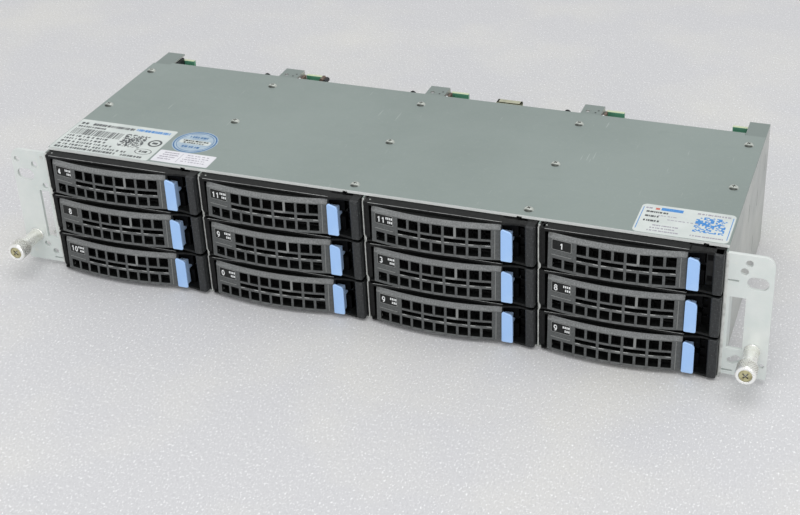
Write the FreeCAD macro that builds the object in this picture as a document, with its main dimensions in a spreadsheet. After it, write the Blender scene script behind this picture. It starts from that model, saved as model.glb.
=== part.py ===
import FreeCAD, Part
import os
import re
import Sketcher

# A two-unit-high rack cage for twelve 3.5 inch hot-swap drives, in four columns of three.
# Frame: X to the right, Y to the rear, Z up.  The origin is on the underside, on the centre
# line, in the plane of the rack ears' front faces.  All lengths are millimetres.

COLUMNS = 4
ROWS = 3

SIZES = {
    # cage
    "body_width": 430.0,
    "body_height": 86.0,
    "gauge": 1.0,
    "column_pitch": 107.5,
    "row_pitch": 28.0,
    "cover_front": 3.8,
    "cover_depth": 142.5,
    "cover_corner_start": 139.5,
    "floor_depth": 161.0,
    "flange_width": 13.0,
    "divider_gauge": 0.8,
    "divider_tab_end": 158.0,
    "web_end": 158.3,
    "rear_flange_width": 9.0,
    "hem_height": 1.9,
    "lance_width": 1.2,
    "lance_length": 12.0,
    # ledges that carry the drive carriers
    "ledge_start": 9.0,
    "ledge_end": 148.0,
    "ledge_reach": 3.0,
    "ledge_rise": 0.4,
    "ledge_drop": 0.8,
    # cover screws
    "screw_inset_left": 5.6,
    "screw_inset_right": 8.5,
    "screw_beside_divider": 9.0,
    "screw_row_front": 11.0,
    "screw_row_middle": 69.0,
    "screw_row_rear": 126.0,
    "tab_hole_depth": 148.6,
    "screw_shank_radius": 1.5,
    "screw_head_radius": 3.0,
    "screw_head_height": 1.6,
    "drill_gap": 0.05,
    # rack ears
    "ear_span": 482.6,
    "ear_bottom": 3.0,
    "ear_height": 80.5,
    "ear_gauge": 2.0,
    "ear_corner_radius": 6.5,
    "ear_flange_gauge": 1.2,
    "ear_flange_depth": 24.0,
    "ear_flange_bottom": 8.0,
    "ear_flange_height": 52.0,
    "slot_spacing": 465.1,
    "slot_centre_height": 65.9,
    "slot_length": 12.0,
    "slot_width": 8.0,
    "ear_window_inner": 217.6,
    "relief_start": 215.5,
    "relief_length": 6.5,
    "relief_height": 1.0,
    "relief_low": 5.4,
    "relief_high": 65.7,
    "hem_notch_place": 93.3,
    "hem_notch_width": 3.0,
    "hem_notch_height": 0.9,
    "ear_window_bottom": 21.0,
    "ear_window_height": 34.5,
    # captive thumbscrews
    "knob_axis_height": 21.45,
    "knob_radius": 6.0,
    "knob_front": 25.0,
    "knob_back": 15.5,
    "knob_recess_radius": 3.9,
    "knob_recess_depth": 0.8,
    "skirt_bore_radius": 4.55,
    "skirt_bore_front": 23.5,
    "shank_radius": 2.4,
    "shank_tip": 1.5,
    "ferrule_radius": 4.35,
    "ferrule_front": 17.0,
    "ferrule_bore_radius": 3.8,
    "ferrule_floor": 1.5,
    "ferrule_boss_radius": 3.35,
    "ferrule_hole_radius": 2.55,
    "collar_radius": 3.7,
    "collar_front": 16.5,
    "collar_thickness": 1.0,
    "running_gap": 0.05,
    # carrier, measured in its own bay from the left divider's middle and the bay's floor
    "bezel_left": 1.2,
    "bezel_right": 106.3,
    "bezel_bottom": 0.6,
    "bezel_top": 26.9,
    "bezel_front": 1.6,
    "bezel_back": 8.0,
    "bezel_rail": 2.6,
    "jamb_right": 4.4,
    "jamb_front": 2.0,
    "post_left": 85.2,
    "pocket_left": 95.0,
    "pocket_right": 100.3,
    "pocket_bottom": 4.0,
    "pocket_top": 24.0,
    "pocket_depth": 5.6,
    "hood_left": 86.9,
    "hood_front": 3.8,
    "hood_bottom": 25.5,
    "sill_top": 2.1,
    "block_left": 100.5,
    "block_front": 5.2,
    "block_edge_radius": 1.6,
    "tray_left": 1.85,
    "tray_right": 105.65,
    "tray_gauge": 1.0,
    "tray_bottom": 0.5,
    "tray_top": 21.0,
    "tray_end": 140.0,
    # lever
    "lever_left": 6.5,
    "lever_right": 85.9,
    "lever_bottom": 1.9,
    "lever_height": 22.8,
    "lever_back": 0.2,
    "lever_wall": 1.6,
    "lever_face_radius": 185.0,
    "lever_lean": 1.3,
    "lever_nose": 8.9,
    "lever_strip_height": 3.2,
    "lever_strip_depth": 1.0,
    "pivot_place": 7.95,
    "pivot_forward": 1.9,
    "pivot_radius": 0.8,
    "pivot_block_right": 9.5,
    "pivot_top": 22.0,
    # grille
    "grille_pitch": 7.25,
    "grille_hole": 5.7,
    "upper_hole_height": 6.0,
    "upper_start": 17.4,
    "upper_bottom": 13.0,
    "middle_slot_length": 12.8,
    "middle_slot_height": 2.6,
    "middle_bottom": 9.0,
    "lower_hole_height": 5.7,
    "lower_start": 3.0,
    "lower_bottom": 1.6,
    # latch
    "latch_left": 86.4,
    "latch_right": 93.4,
    "latch_bottom": 2.5,
    "latch_top": 23.2,
    "latch_slope_width": 2.6,
    "latch_slope_height": 3.4,
    "latch_front": 6.2,
    "latch_back": 1.4,
    "latch_key_left": 88.6,
    "latch_key_width": 3.0,
    "latch_key_bottom": 12.0,
    "latch_key_height": 3.0,
    "latch_key_back": 5.0,
    "latch_travel": 3.5,
    # drive
    "drive_width": 101.6,
    "drive_length": 147.0,
    "drive_height": 20.2,
    "drive_left": 2.95,
    "drive_front": 8.8,
    "drive_bottom": 0.7,
    "plug_left": 52.0,
    "plug_width": 46.0,
    "plug_bottom": 11.0,
    "plug_height": 9.0,
    "plug_depth": 6.0,
    "board_recess_margin": 4.0,
    "board_recess_length": 110.0,
    "board_recess_depth": 9.0,
    # backplane
    "board_front": 158.5,
    "board_gauge": 2.4,
    "board_half_width": 213.4,
    "board_bottom": 1.6,
    "board_top": 76.8,
    "board_ear_top": 81.2,
    "board_ear_width": 12.0,
    "vent_width": 25.0,
    "vent_height": 11.0,
    "vent_left": 10.5,
    "vent_bottom": 6.0,
    "socket_clearance": 0.8,
    "socket_front": 150.6,
    "board_screw_high": 73.0,
    "board_screw_low": 6.0,
    "board_screw_head": 2.2,
}

doc = FreeCAD.newDocument("drive_cage")
sheet = doc.addObject("Spreadsheet::Sheet", "Sizes")
for line, (alias, value) in enumerate(SIZES.items(), start=1):
    sheet.set(f"A{line}", alias)
    sheet.set(f"B{line}", str(value))
    sheet.setAlias(f"B{line}", alias)
doc.recompute()

AXIS_X = FreeCAD.Vector(1, 0, 0)
AXIS_Y = FreeCAD.Vector(0, 1, 0)
Z_TO_Y = FreeCAD.Rotation(AXIS_X, -90)


def formula(text):
    """Turn an expression in plain alias names into one that reads the sheet."""
    def cell(match):
        word = match.group(0)
        return f"Sizes.{word}" if word in SIZES else word
    return re.sub(r"[a-z_]+", cell, str(text))


def bind(thing, **lengths):
    for name, text in lengths.items():
        thing.setExpression(name, formula(text))


def place(thing, x, y, z):
    for axis, text in (("x", x), ("y", y), ("z", z)):
        thing.setExpression(f"Placement.Base.{axis}", formula(text))


# ---- simple solids -------------------------------------------------------------------

def block(name, x, y, z):
    """A box given as three (low, high) pairs of expressions."""
    solid = doc.addObject("Part::Box", name)
    bind(solid, Length=f"({x[1]}) - ({x[0]})", Width=f"({y[1]}) - ({y[0]})",
         Height=f"({z[1]}) - ({z[0]})")
    place(solid, x[0], y[0], z[0])
    return solid


def rod_along_y(name, x, z, radius, y):
    rod = doc.addObject("Part::Cylinder", name)
    rod.Placement.Rotation = Z_TO_Y
    bind(rod, Radius=radius, Height=f"({y[1]}) - ({y[0]})")
    place(rod, x, y[0], z)
    return rod


def rod_along_z(name, x, y, radius, z):
    rod = doc.addObject("Part::Cylinder", name)
    bind(rod, Radius=radius, Height=f"({z[1]}) - ({z[0]})")
    place(rod, x, y, z[0])
    return rod


def cone_along_z(name, x, y, low_radius, high_radius, z):
    cone = doc.addObject("Part::Cone", name)
    bind(cone, Radius1=low_radius, Radius2=high_radius, Height=f"({z[1]}) - ({z[0]})")
    place(cone, x, y, z[0])
    return cone


def fused(name, solids):
    union = doc.addObject("Part::MultiFuse", name)
    union.Shapes = solids
    union.Refine = True
    return union


def grouped(name, solids):
    group = doc.addObject("Part::Compound", name)
    group.Links = solids
    return group


def cut(name, blank, tools):
    result = doc.addObject("Part::Cut", name)
    result.Base = blank
    result.Tool = grouped(f"{name}_tools", tools)
    return result


def common(name, one, other):
    result = doc.addObject("Part::Common", name)
    result.Base = one
    result.Tool = other
    return result


def slot_along_y(name, x, z, length, width, angle, y):
    """A round-ended slot through a plate, its long side turned by angle from X."""
    half = f"(({length}) - ({width})) / 2"
    reach = f"({y[1]}) - ({y[0]})"
    straight = block(f"{name}_straight", (f"-{half}", half), ("0", reach),
                     (f"-({width}) / 2", f"({width}) / 2"))
    ends = [rod_along_y(f"{name}_end_{side}", f"{sign} * {half}", "0", f"({width}) / 2", ("0", reach))
            for side, sign in (("low", -1), ("high", 1))]
    slot = fused(name, [straight] + ends)
    slot.Placement.Rotation = FreeCAD.Rotation(AXIS_Y, -angle)
    place(slot, x, y[0], z)
    return slot


# ---- sketched sheets -----------------------------------------------------------------

def outlined(name, plane_role, corners, thickness, at):
    """A body padded from a closed outline whose corners are pairs of expressions."""
    body = doc.addObject("PartDesign::Body", name)
    sketch = body.newObject("Sketcher::SketchObject", f"{name}_outline")
    plane = [item for item in body.Origin.OriginFeatures if item.Role == plane_role][0]
    sketch.AttachmentSupport = [(plane, "")]
    sketch.MapMode = "FlatFace"
    spots = [FreeCAD.Vector(sheet.evalExpression(formula(across)), sheet.evalExpression(formula(up)), 0)
             for across, up in corners]
    count = len(spots)
    for index in range(count):
        sketch.addGeometry(Part.LineSegment(spots[index], spots[(index + 1) % count]), False)
    for index, (across, up) in enumerate(corners):
        sketch.addConstraint(Sketcher.Constraint("Coincident", index, 2, (index + 1) % count, 1))
        for kind, text, value in (("DistanceX", across, spots[index].x),
                                  ("DistanceY", up, spots[index].y)):
            number = sketch.addConstraint(Sketcher.Constraint(kind, -1, 1, index, 1, value))
            sketch.setExpression(f"Constraints[{number}]", formula(text))
    pad = body.newObject("PartDesign::Pad", f"{name}_pad")
    pad.Profile = sketch
    bind(pad, Length=thickness)
    place(body, *at)
    return body


def rounded_upright(name, base, radius, spots):
    """Round the upright edges of a solid that stand at the given (x, y) spots."""
    doc.recompute()
    result = doc.addObject("Part::Fillet", name)
    result.Base = base
    numbers = []
    for number, edge in enumerate(base.Shape.Edges, start=1):
        low, high = edge.Vertexes[0].Point, edge.Vertexes[-1].Point
        upright = abs(low.x - high.x) + abs(low.y - high.y) < 1e-6
        if upright and any(abs(low.x - x) + abs(low.y - y) < 1e-3 for x, y in spots):
            numbers.append(number)
    size = sheet.evalExpression(formula(radius))
    result.Edges = [(number, size, size) for number in numbers]
    return result


# ---- cage ----------------------------------------------------------------------------

DIVIDERS = [f"{column} * column_pitch - body_width / 2" for column in range(1, COLUMNS)]
COVER_SCREWS_X = (["-body_width / 2 + screw_inset_left"]
                  + [f"{divider} - screw_beside_divider" for divider in DIVIDERS]
                  + ["body_width / 2 - screw_inset_right"])
COVER_SCREWS_Y = ["screw_row_front", "screw_row_middle", "screw_row_rear"]
COVER_SCREWS = [(across, along, x, y) for across, x in enumerate(COVER_SCREWS_X)
                for along, y in enumerate(COVER_SCREWS_Y) if along > 0 or across in (2, 3)]
LANCES = [(83, 56), (113, 18), (119, 48), (147, 59)]
COVER_BOTTOM = "body_height - gauge"
FLANGE_BOTTOM = "body_height - 2 * gauge"


def bay_left(column):
    """The middle of the sheet on the left of a column; column 1 is the leftmost."""
    return f"{column - 1} * column_pitch - body_width / 2"


def row_floor(row):
    """Height of a row's floor; row 1 is the top row."""
    return f"gauge + {ROWS - row} * row_pitch"


def ledges(name, inner_face, direction):
    """The three ledges beside one upright sheet, reaching left or right from its face."""
    near, far = f"({inner_face})", f"({inner_face}) + {direction} * ledge_reach"
    across = (near, far) if direction > 0 else (far, near)
    shelves = []
    for row in range(1, ROWS + 1):
        drop = "0" if row == ROWS else "ledge_drop"
        shelves.append(block(f"{name}_{row}", across, ("ledge_start", "ledge_end"),
                             (f"{row_floor(row)} - {drop}", f"{row_floor(row)} + ledge_rise")))
    return shelves


def cover_drill():
    """The rods that make every cover screw hole and the holes in the rear tabs."""
    rods = []
    for across, along, x, y in COVER_SCREWS:
        rods.append(rod_along_z(f"drill_{across}_{along}", x, y, "screw_shank_radius + drill_gap",
                                (f"{FLANGE_BOTTOM} - 1", "body_height + 1")))
    for across, divider in enumerate(DIVIDERS):
        rods.append(rod_along_z(f"tab_drill_{across}", f"{divider} - screw_beside_divider",
                                "tab_hole_depth", "screw_shank_radius",
                                (f"{FLANGE_BOTTOM} - 1", "body_height + 1")))
    return rods


def cage_base(drill):
    """Floor and side walls with their inward top flanges, folded from one sheet."""
    half = "body_width / 2"
    inner = "(body_width / 2 - gauge)"
    lip = "(body_width / 2 - flange_width)"
    section = [(f"-{half}", "0"), (half, "0"), (half, COVER_BOTTOM), (lip, COVER_BOTTOM),
               (lip, FLANGE_BOTTOM), (inner, FLANGE_BOTTOM), (inner, "gauge"),
               (f"-{inner}", "gauge"), (f"-{inner}", FLANGE_BOTTOM), (f"-{lip}", FLANGE_BOTTOM),
               (f"-{lip}", COVER_BOTTOM), (f"-{half}", COVER_BOTTOM)]
    folded = outlined("folded_sheet", "XZ_Plane", section, "floor_depth", ("0", "floor_depth", "0"))
    shelves = ledges("left_ledge", f"-{inner}", 1) + ledges("right_ledge", inner, -1)
    hem_room = block("hem_room", (f"-{half} - 1", f"{half} + 1"), ("-1", "cover_front + gauge"),
                     (FLANGE_BOTTOM, "body_height"))
    lances = [block(f"lance_{side}_{index}", (f"{sign} * {half} - 2", f"{sign} * {half} + 2"),
                    (f"{depth}", f"{depth} + lance_width"), (f"{height}", f"{height} + lance_length"))
              for side, sign in (("left", -1), ("right", 1))
              for index, (depth, height) in enumerate(LANCES)]
    whole = fused("base_with_ledges", [folded] + shelves)
    return cut("cage_base", whole, [hem_room] + lances + drill)


def top_cover(drill):
    """The lid: a flat sheet with its front edge hemmed down and its rear corners stepped in."""
    half = "body_width / 2"
    lip = "(body_width / 2 - flange_width)"
    outline = [(f"-{half}", "cover_front"), (half, "cover_front"), (half, "cover_corner_start"),
               (lip, "cover_corner_start"), (lip, "cover_depth"), (f"-{lip}", "cover_depth"),
               (f"-{lip}", "cover_corner_start"), (f"-{half}", "cover_corner_start")]
    flat = outlined("cover_sheet", "XY_Plane", outline, "gauge", ("0", "0", COVER_BOTTOM))
    hem = block("cover_hem", (f"-{half}", half), ("cover_front", "cover_front + gauge - drill_gap"),
                ("body_height - hem_height", "body_height"))
    notches = [block(f"hem_notch_{column}", (f"{bay_left(column)} + hem_notch_place",
                                             f"{bay_left(column)} + hem_notch_place + hem_notch_width"),
                     ("cover_front - 1", "cover_front + gauge + 1"),
                     ("body_height - hem_height - 1", "body_height - hem_height + hem_notch_height"))
               for column in range(1, COLUMNS + 1)]
    return cut("top_cover", fused("cover_with_hem", [flat, hem]), drill + notches)


def bay_dividers(drill):
    """Three upright sheets, each with a top flange to the left, a rear flange and ledges."""
    sheets = []
    for number, middle in enumerate(DIVIDERS, start=1):
        left = f"{middle} - divider_gauge / 2"
        right = f"{middle} + divider_gauge / 2"
        web = block(f"divider_web_{number}", (left, right), ("0", "web_end"), ("gauge", FLANGE_BOTTOM))
        top = block(f"divider_top_{number}", (f"{middle} - flange_width", right),
                    ("cover_front + gauge", "divider_tab_end"), (FLANGE_BOTTOM, COVER_BOTTOM))
        rear = block(f"divider_rear_{number}", (left, f"{middle} + rear_flange_width"),
                     ("web_end - divider_gauge", "web_end"), ("gauge", "board_top - 4"))
        shelves = (ledges(f"divider_{number}_right_ledge", right, 1)
                   + ledges(f"divider_{number}_left_ledge", left, -1))
        whole = fused(f"divider_{number}", [web, top, rear] + shelves)
        sheets.append(cut(f"drilled_divider_{number}", whole, drill))
    return grouped("bay_dividers", sheets)


def rack_ear(side, sign, window_width, reliefs_at, small_holes):
    """A flat ear with a return flange on the side wall, a slot, a window and small holes."""
    def across(inner, outer):
        low, high = f"{sign} * ({inner})", f"{sign} * ({outer})"
        return (low, high) if sign > 0 else (high, low)

    plate = block(f"ear_plate_{side}", across("body_width / 2", "ear_span / 2"), ("0", "ear_gauge"),
                  ("ear_bottom", "ear_bottom + ear_height"))
    flange = block(f"ear_flange_{side}", across("body_width / 2", "body_width / 2 + ear_flange_gauge"),
                   ("0", "ear_flange_depth"),
                   ("ear_flange_bottom", "ear_flange_bottom + ear_flange_height"))
    through = ("-1", "ear_gauge + 1")
    window = block(f"ear_window_{side}", across("ear_window_inner", f"ear_window_inner + {window_width}"),
                   through, ("ear_window_bottom", "ear_window_bottom + ear_window_height"))
    slot = slot_along_y(f"ear_slot_{side}", f"{sign} * slot_spacing / 2", "slot_centre_height",
                        "slot_length", "slot_width", 0, through)
    ferrule_hole = rod_along_y(f"ear_ferrule_hole_{side}", f"{sign} * slot_spacing / 2",
                               "knob_axis_height", "ferrule_boss_radius + drill_gap", through)
    corner = "ear_span / 2 - ear_corner_radius"
    top = "ear_bottom + ear_height"
    corner_square = block(f"ear_corner_square_{side}", across(corner, "ear_span / 2 + 1"), through,
                          (f"{top} - ear_corner_radius", f"{top} + 1"))
    corner_round = rod_along_y(f"ear_corner_round_{side}", f"{sign} * ({corner})",
                               f"{top} - ear_corner_radius", "ear_corner_radius", ("-2", "ear_gauge + 2"))
    corner_waste = cut(f"ear_corner_{side}", corner_square, [corner_round])
    reliefs = [block(f"ear_relief_{place}_{side}", across("relief_start", "relief_start + relief_length"),
                     through, (f"relief_{place}", f"relief_{place} + relief_height"))
               for place in reliefs_at]
    tools = [window, slot, ferrule_hole, corner_waste] + reliefs
    for number, (x, height, length, width, angle) in enumerate(small_holes, start=1):
        name = f"ear_hole_{side}_{number}"
        if length == width:
            tools.append(rod_along_y(name, x, height, width / 2, through))
        else:
            tools.append(slot_along_y(name, x, height, length, width, angle, through))
    return cut(f"rack_ear_{side}", fused(f"ear_blank_{side}", [plate, flange]), tools)


# ---- captive thumbscrews -------------------------------------------------------------

def thumbscrew_axis(sign):
    return f"{sign} * slot_spacing / 2", "knob_axis_height"


def ferrule(side, sign):
    x, z = thumbscrew_axis(sign)
    tube = rod_along_y(f"ferrule_tube_{side}", x, z, "ferrule_radius", ("-ferrule_front", "0"))
    boss = rod_along_y(f"ferrule_boss_{side}", x, z, "ferrule_boss_radius", ("-1", "ear_gauge"))
    bore = rod_along_y(f"ferrule_bore_{side}", x, z, "ferrule_bore_radius",
                       ("-ferrule_front - 1", "-ferrule_floor"))
    hole = rod_along_y(f"ferrule_hole_{side}", x, z, "ferrule_hole_radius",
                       ("-ferrule_floor - 1", "ear_gauge + 1"))
    bored = cut(f"bored_ferrule_{side}", fused(f"ferrule_body_{side}", [tube, boss]), [bore])
    return cut(f"ferrule_{side}", bored, [hole])


def spring_collar(side, sign):
    """The ring on the shank that the return spring pushes against."""
    x, z = thumbscrew_axis(sign)
    span = ("-collar_front", "-collar_front + collar_thickness")
    disc = rod_along_y(f"collar_disc_{side}", x, z, "collar_radius", span)
    eye = rod_along_y(f"collar_eye_{side}", x, z, "shank_radius + running_gap",
                      ("-collar_front - 1", "-collar_front + collar_thickness + 1"))
    return cut(f"spring_collar_{side}", disc, [eye])


def thumbscrew(side, sign):
    """Knurled knob with a skirt over the ferrule, a recessed head and a plain shank."""
    x, z = thumbscrew_axis(sign)
    knob = rod_along_y(f"knob_{side}", x, z, "knob_radius", ("-knob_front", "-knob_back"))
    skirt = rod_along_y(f"knob_skirt_bore_{side}", x, z, "skirt_bore_radius",
                        ("-skirt_bore_front", "-knob_back + 1"))
    recess = rod_along_y(f"knob_recess_{side}", x, z, "knob_recess_radius",
                         ("-knob_front - 1", "-knob_front + knob_recess_depth"))
    shank = rod_along_y(f"knob_shank_{side}", x, z, "shank_radius",
                        ("-knob_front + knob_recess_depth", "shank_tip"))
    hollow = cut(f"hollow_knob_{side}", knob, [skirt, recess])
    return fused(f"thumbscrew_{side}", [hollow, shank])


# ---- backplane -----------------------------------------------------------------------

BOARD_EAR_STARTS = ["-206", "-106.2", "0.9", "108.5", "191.5"]
BOARD_SCREWS_X = ["-126", "-62", "-21.5", "83", "187.4"]
BOARD_BACK = "board_front + board_gauge"


def backplane_board():
    """The backplane: one upright board with raised ears and a vent in front of every drive."""
    outline = [("-board_half_width", "board_bottom"), ("board_half_width", "board_bottom"),
               ("board_half_width", "board_top")]
    for start in reversed(BOARD_EAR_STARTS):
        outline += [(f"{start} + board_ear_width", "board_top"), (f"{start} + board_ear_width", "board_ear_top"),
                    (start, "board_ear_top"), (start, "board_top")]
    outline.append(("-board_half_width", "board_top"))
    panel = outlined("board_panel", "XZ_Plane", outline, "board_gauge", ("0", BOARD_BACK, "0"))
    vents = []
    for column in range(1, COLUMNS + 1):
        for row in range(1, ROWS + 1):
            left = f"{bay_left(column)} + vent_left"
            floor = f"{row_floor(row)} + vent_bottom"
            vents.append(block(f"vent_c{column}r{row}", (left, f"{left} + vent_width"),
                               ("board_front - 1", f"{BOARD_BACK} + 1"), (floor, f"{floor} + vent_height")))
    for across, x in enumerate(BOARD_SCREWS_X):
        for along, height in enumerate(("board_screw_high", "board_screw_low")):
            vents.append(rod_along_y(f"board_drill_{across}_{along}", x, height,
                                     "screw_shank_radius + drill_gap", ("board_front - 1", f"{BOARD_BACK} + 1")))
    return cut("backplane_board", panel, vents)


def board_connectors():
    """One drive socket per bay on the front of the board, and the cable connectors behind it."""
    pieces = []
    for column in range(1, COLUMNS + 1):
        for row in range(1, ROWS + 1):
            left = f"{bay_left(column)} + plug_left"
            floor = f"{row_floor(row)} + plug_bottom"
            pieces.append(block(f"socket_c{column}r{row}",
                                (f"{left} + socket_clearance", f"{left} + plug_width - socket_clearance"),
                                ("socket_front", "board_front"),
                                (f"{floor} + socket_clearance", f"{floor} + plug_height - socket_clearance")))
    rear = {"cable_connector": ("31.8", "49", "42", "77", "6"),
            "data_connector_1": ("-165", "-145", "42", "56", "9"),
            "data_connector_2": ("-57", "-37", "42", "56", "9"),
            "data_connector_3": ("158", "178", "42", "56", "9"),
            "power_connector_1": ("-166", "-144", "10", "21", "8"),
            "power_connector_2": ("158", "180", "10", "21", "8")}
    for name, (left, right, low, high, depth) in rear.items():
        pieces.append(block(name, (left, right), (BOARD_BACK, f"{BOARD_BACK} + {depth}"), (low, high)))
    return grouped("board_connectors", pieces)


def fasteners():
    """Cover screws, board screws and the ferrules of the captive thumbscrews."""
    pieces = []
    for across, along, x, y in COVER_SCREWS:
        name = f"cover_screw_{across}_{along}"
        head = cone_along_z(f"{name}_head", x, y, "screw_head_radius", "screw_head_radius * 0.62",
                            ("body_height", "body_height + screw_head_height"))
        shank = rod_along_z(f"{name}_shank", x, y, "screw_shank_radius",
                            (f"{FLANGE_BOTTOM} + 0.1", "body_height + 0.5"))
        pieces.append(fused(name, [head, shank]))
    for across, x in enumerate(BOARD_SCREWS_X):
        for along, height in enumerate(("board_screw_high", "board_screw_low")):
            name = f"board_screw_{across}_{along}"
            head = rod_along_y(f"{name}_head", x, height, "screw_head_radius",
                               (BOARD_BACK, f"{BOARD_BACK} + board_screw_head"))
            shank = rod_along_y(f"{name}_shank", x, height, "screw_shank_radius",
                                ("board_front", f"{BOARD_BACK} + 0.5"))
            pieces.append(fused(name, [head, shank]))
    pieces += [ferrule("left", -1), ferrule("right", 1)]
    return grouped("fasteners", pieces)


# ---- one bay's pieces, modelled from the bay's own corner -----------------------------

def carrier_master():
    """Plastic bezel with a jamb, a hooded finger recess, an end block and a hinge pin; and a tray."""
    left, right = "bezel_left", "bezel_right"
    low, high = "bezel_bottom", "bezel_top"
    depth = ("bezel_front", "bezel_back")
    rails = [block("bezel_sill", (left, right), depth, (low, f"{low} + bezel_rail")),
             block("bezel_head", (left, right), depth, (f"{high} - bezel_rail", high)),
             block("bezel_jamb", (left, "jamb_right"), ("-jamb_front", "bezel_back"), (low, high)),
             block("bezel_post", ("post_left", right), depth, (low, high)),
             block("bezel_hood", ("hood_left", right), ("-hood_front", "bezel_back"), ("hood_bottom", high)),
             block("bezel_step", ("hood_left", right), ("-hood_front", "bezel_back"), (low, "sill_top")),
             block("hinge_lug", (left, "pivot_block_right"), ("-3.6", "bezel_back"), (low, "1.7")),
             rod_along_z("hinge_pin", "pivot_place", "-pivot_forward", "pivot_radius", ("1.2", "pivot_top"))]
    square_block = block("end_block_square", ("block_left", right), ("-block_front", "bezel_back"), (low, high))
    front = -SIZES["block_front"]
    end_block = rounded_upright("end_block", square_block, "block_edge_radius",
                                [(SIZES["block_left"], front), (SIZES["bezel_right"], front)])
    key_slot = block("latch_key_slot", ("latch_key_left - 0.3", "latch_key_left + latch_key_width + latch_travel + 0.3"),
                     ("0", "bezel_back + 1"),
                     ("latch_key_bottom - 0.2", "latch_key_bottom + latch_key_height + 0.2"))
    finger_pocket = block("finger_pocket", ("pocket_left", "pocket_right"), ("0", "pocket_depth"),
                          ("pocket_bottom", "pocket_top"))
    bezel = cut("bezel", fused("bezel_blank", rails + [end_block]), [key_slot, finger_pocket])
    arms = [block("tray_left_arm", ("tray_left", "tray_left + tray_gauge"), ("bezel_back", "tray_end"),
                  ("tray_bottom", "tray_top")),
            block("tray_right_arm", ("tray_right - tray_gauge", "tray_right"), ("bezel_back", "tray_end"),
                  ("tray_bottom", "tray_top")),
            block("tray_bridge", ("tray_left", "tray_right"), ("bezel_back", "bezel_back + 0.6"),
                  ("tray_bottom", "4"))]
    return grouped("carrier_master", [bezel, fused("tray", arms)])


def grille_rows():
    """The lever's three rows of openings, as rods of square section along Y."""
    through = ("-20", "lever_back + 1")
    rows = [("upper", 8, "upper_start", "grille_pitch", "grille_hole", "upper_bottom", "upper_hole_height"),
            ("middle", 4, "upper_start", "2 * grille_pitch", "middle_slot_length", "middle_bottom",
             "middle_slot_height"),
            ("lower", 10, "lower_start", "grille_pitch", "grille_hole", "lower_bottom", "lower_hole_height")]
    holes = []
    for row, count, start, pitch, width, bottom, height in rows:
        for number in range(count):
            left = f"lever_left + {start} + {number} * {pitch}"
            holes.append(block(f"grille_{row}_{number}", (left, f"{left} + {width}"), through,
                               (f"lever_bottom + {bottom}", f"lever_bottom + {bottom} + {height}")))
    return holes


def lever_round(name, inset):
    """The lever's bowed outside: it leans back up to an edge, then slopes back further as a strip."""
    middle = "(lever_left + lever_right) / 2"
    centre = "lever_face_radius - lever_nose"
    top = "lever_bottom + lever_height"
    edge = f"{top} - lever_strip_height"
    edge_radius = f"lever_face_radius - lever_lean - {inset}"
    face = cone_along_z(f"{name}_face", middle, centre, f"lever_face_radius - {inset}", edge_radius,
                        ("lever_bottom", edge))
    strip = cone_along_z(f"{name}_strip", middle, centre, edge_radius, f"{edge_radius} - lever_strip_depth",
                         (edge, top))
    return fused(name, [face, strip])


def lever_master():
    """Bowed shell, open at the back and pierced by the grille, with a block for the hinge pin."""
    top = "lever_bottom + lever_height"
    outer = block("lever_outer", ("lever_left", "lever_right"), ("-20", "-lever_back"), ("lever_bottom", top))
    hollow = block("lever_hollow", ("pivot_block_right", "lever_right - lever_wall"), ("-20", "lever_back"),
                   ("lever_bottom + lever_wall", f"{top} - lever_wall"))
    bore = rod_along_z("lever_bore", "pivot_place", "-pivot_forward", "pivot_radius + running_gap",
                       ("lever_bottom - 1", "pivot_top + 0.2"))
    solid = common("lever_solid", outer, lever_round("lever_outside", "0"))
    shell = cut("lever_shell", solid, [common("lever_room", hollow, lever_round("lever_inside", "lever_wall"))])
    return cut("lever_master", shell, grille_rows() + [bore])


def latch_master():
    """Sliding latch with a sloped top corner and a key that runs in the bezel's slot."""
    outline = [("latch_left", "latch_bottom"), ("latch_right", "latch_bottom"),
               ("latch_right", "latch_top - latch_slope_height"),
               ("latch_right - latch_slope_width", "latch_top"), ("latch_left", "latch_top")]
    front = outlined("latch_button", "XZ_Plane", outline, "latch_front + latch_back", ("0", "latch_back", "0"))
    key = block("latch_key", ("latch_key_left", "latch_key_left + latch_key_width"), ("0", "latch_key_back"),
                ("latch_key_bottom", "latch_key_bottom + latch_key_height"))
    return fused("latch_master", [front, key])


def drive_master():
    """A 3.5 inch drive with its plug recess at the rear and its circuit-board recess below."""
    case = block("drive_case", ("drive_left", "drive_left + drive_width"),
                 ("drive_front", "drive_front + drive_length"), ("drive_bottom", "drive_bottom + drive_height"))
    rear = "drive_front + drive_length"
    plug = block("plug_recess", ("plug_left", "plug_left + plug_width"), (f"{rear} - plug_depth", f"{rear} + 1"),
                 ("plug_bottom", "plug_bottom + plug_height"))
    board = block("drive_board_recess", ("drive_left + board_recess_margin",
                                         "drive_left + drive_width - board_recess_margin"),
                  ("drive_front + board_recess_margin", "drive_front + board_recess_margin + board_recess_length"),
                  ("drive_bottom - 1", "drive_bottom + board_recess_depth"))
    return cut("drive_master", case, [plug, board])


# ---- assembly ------------------------------------------------------------------------

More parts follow.
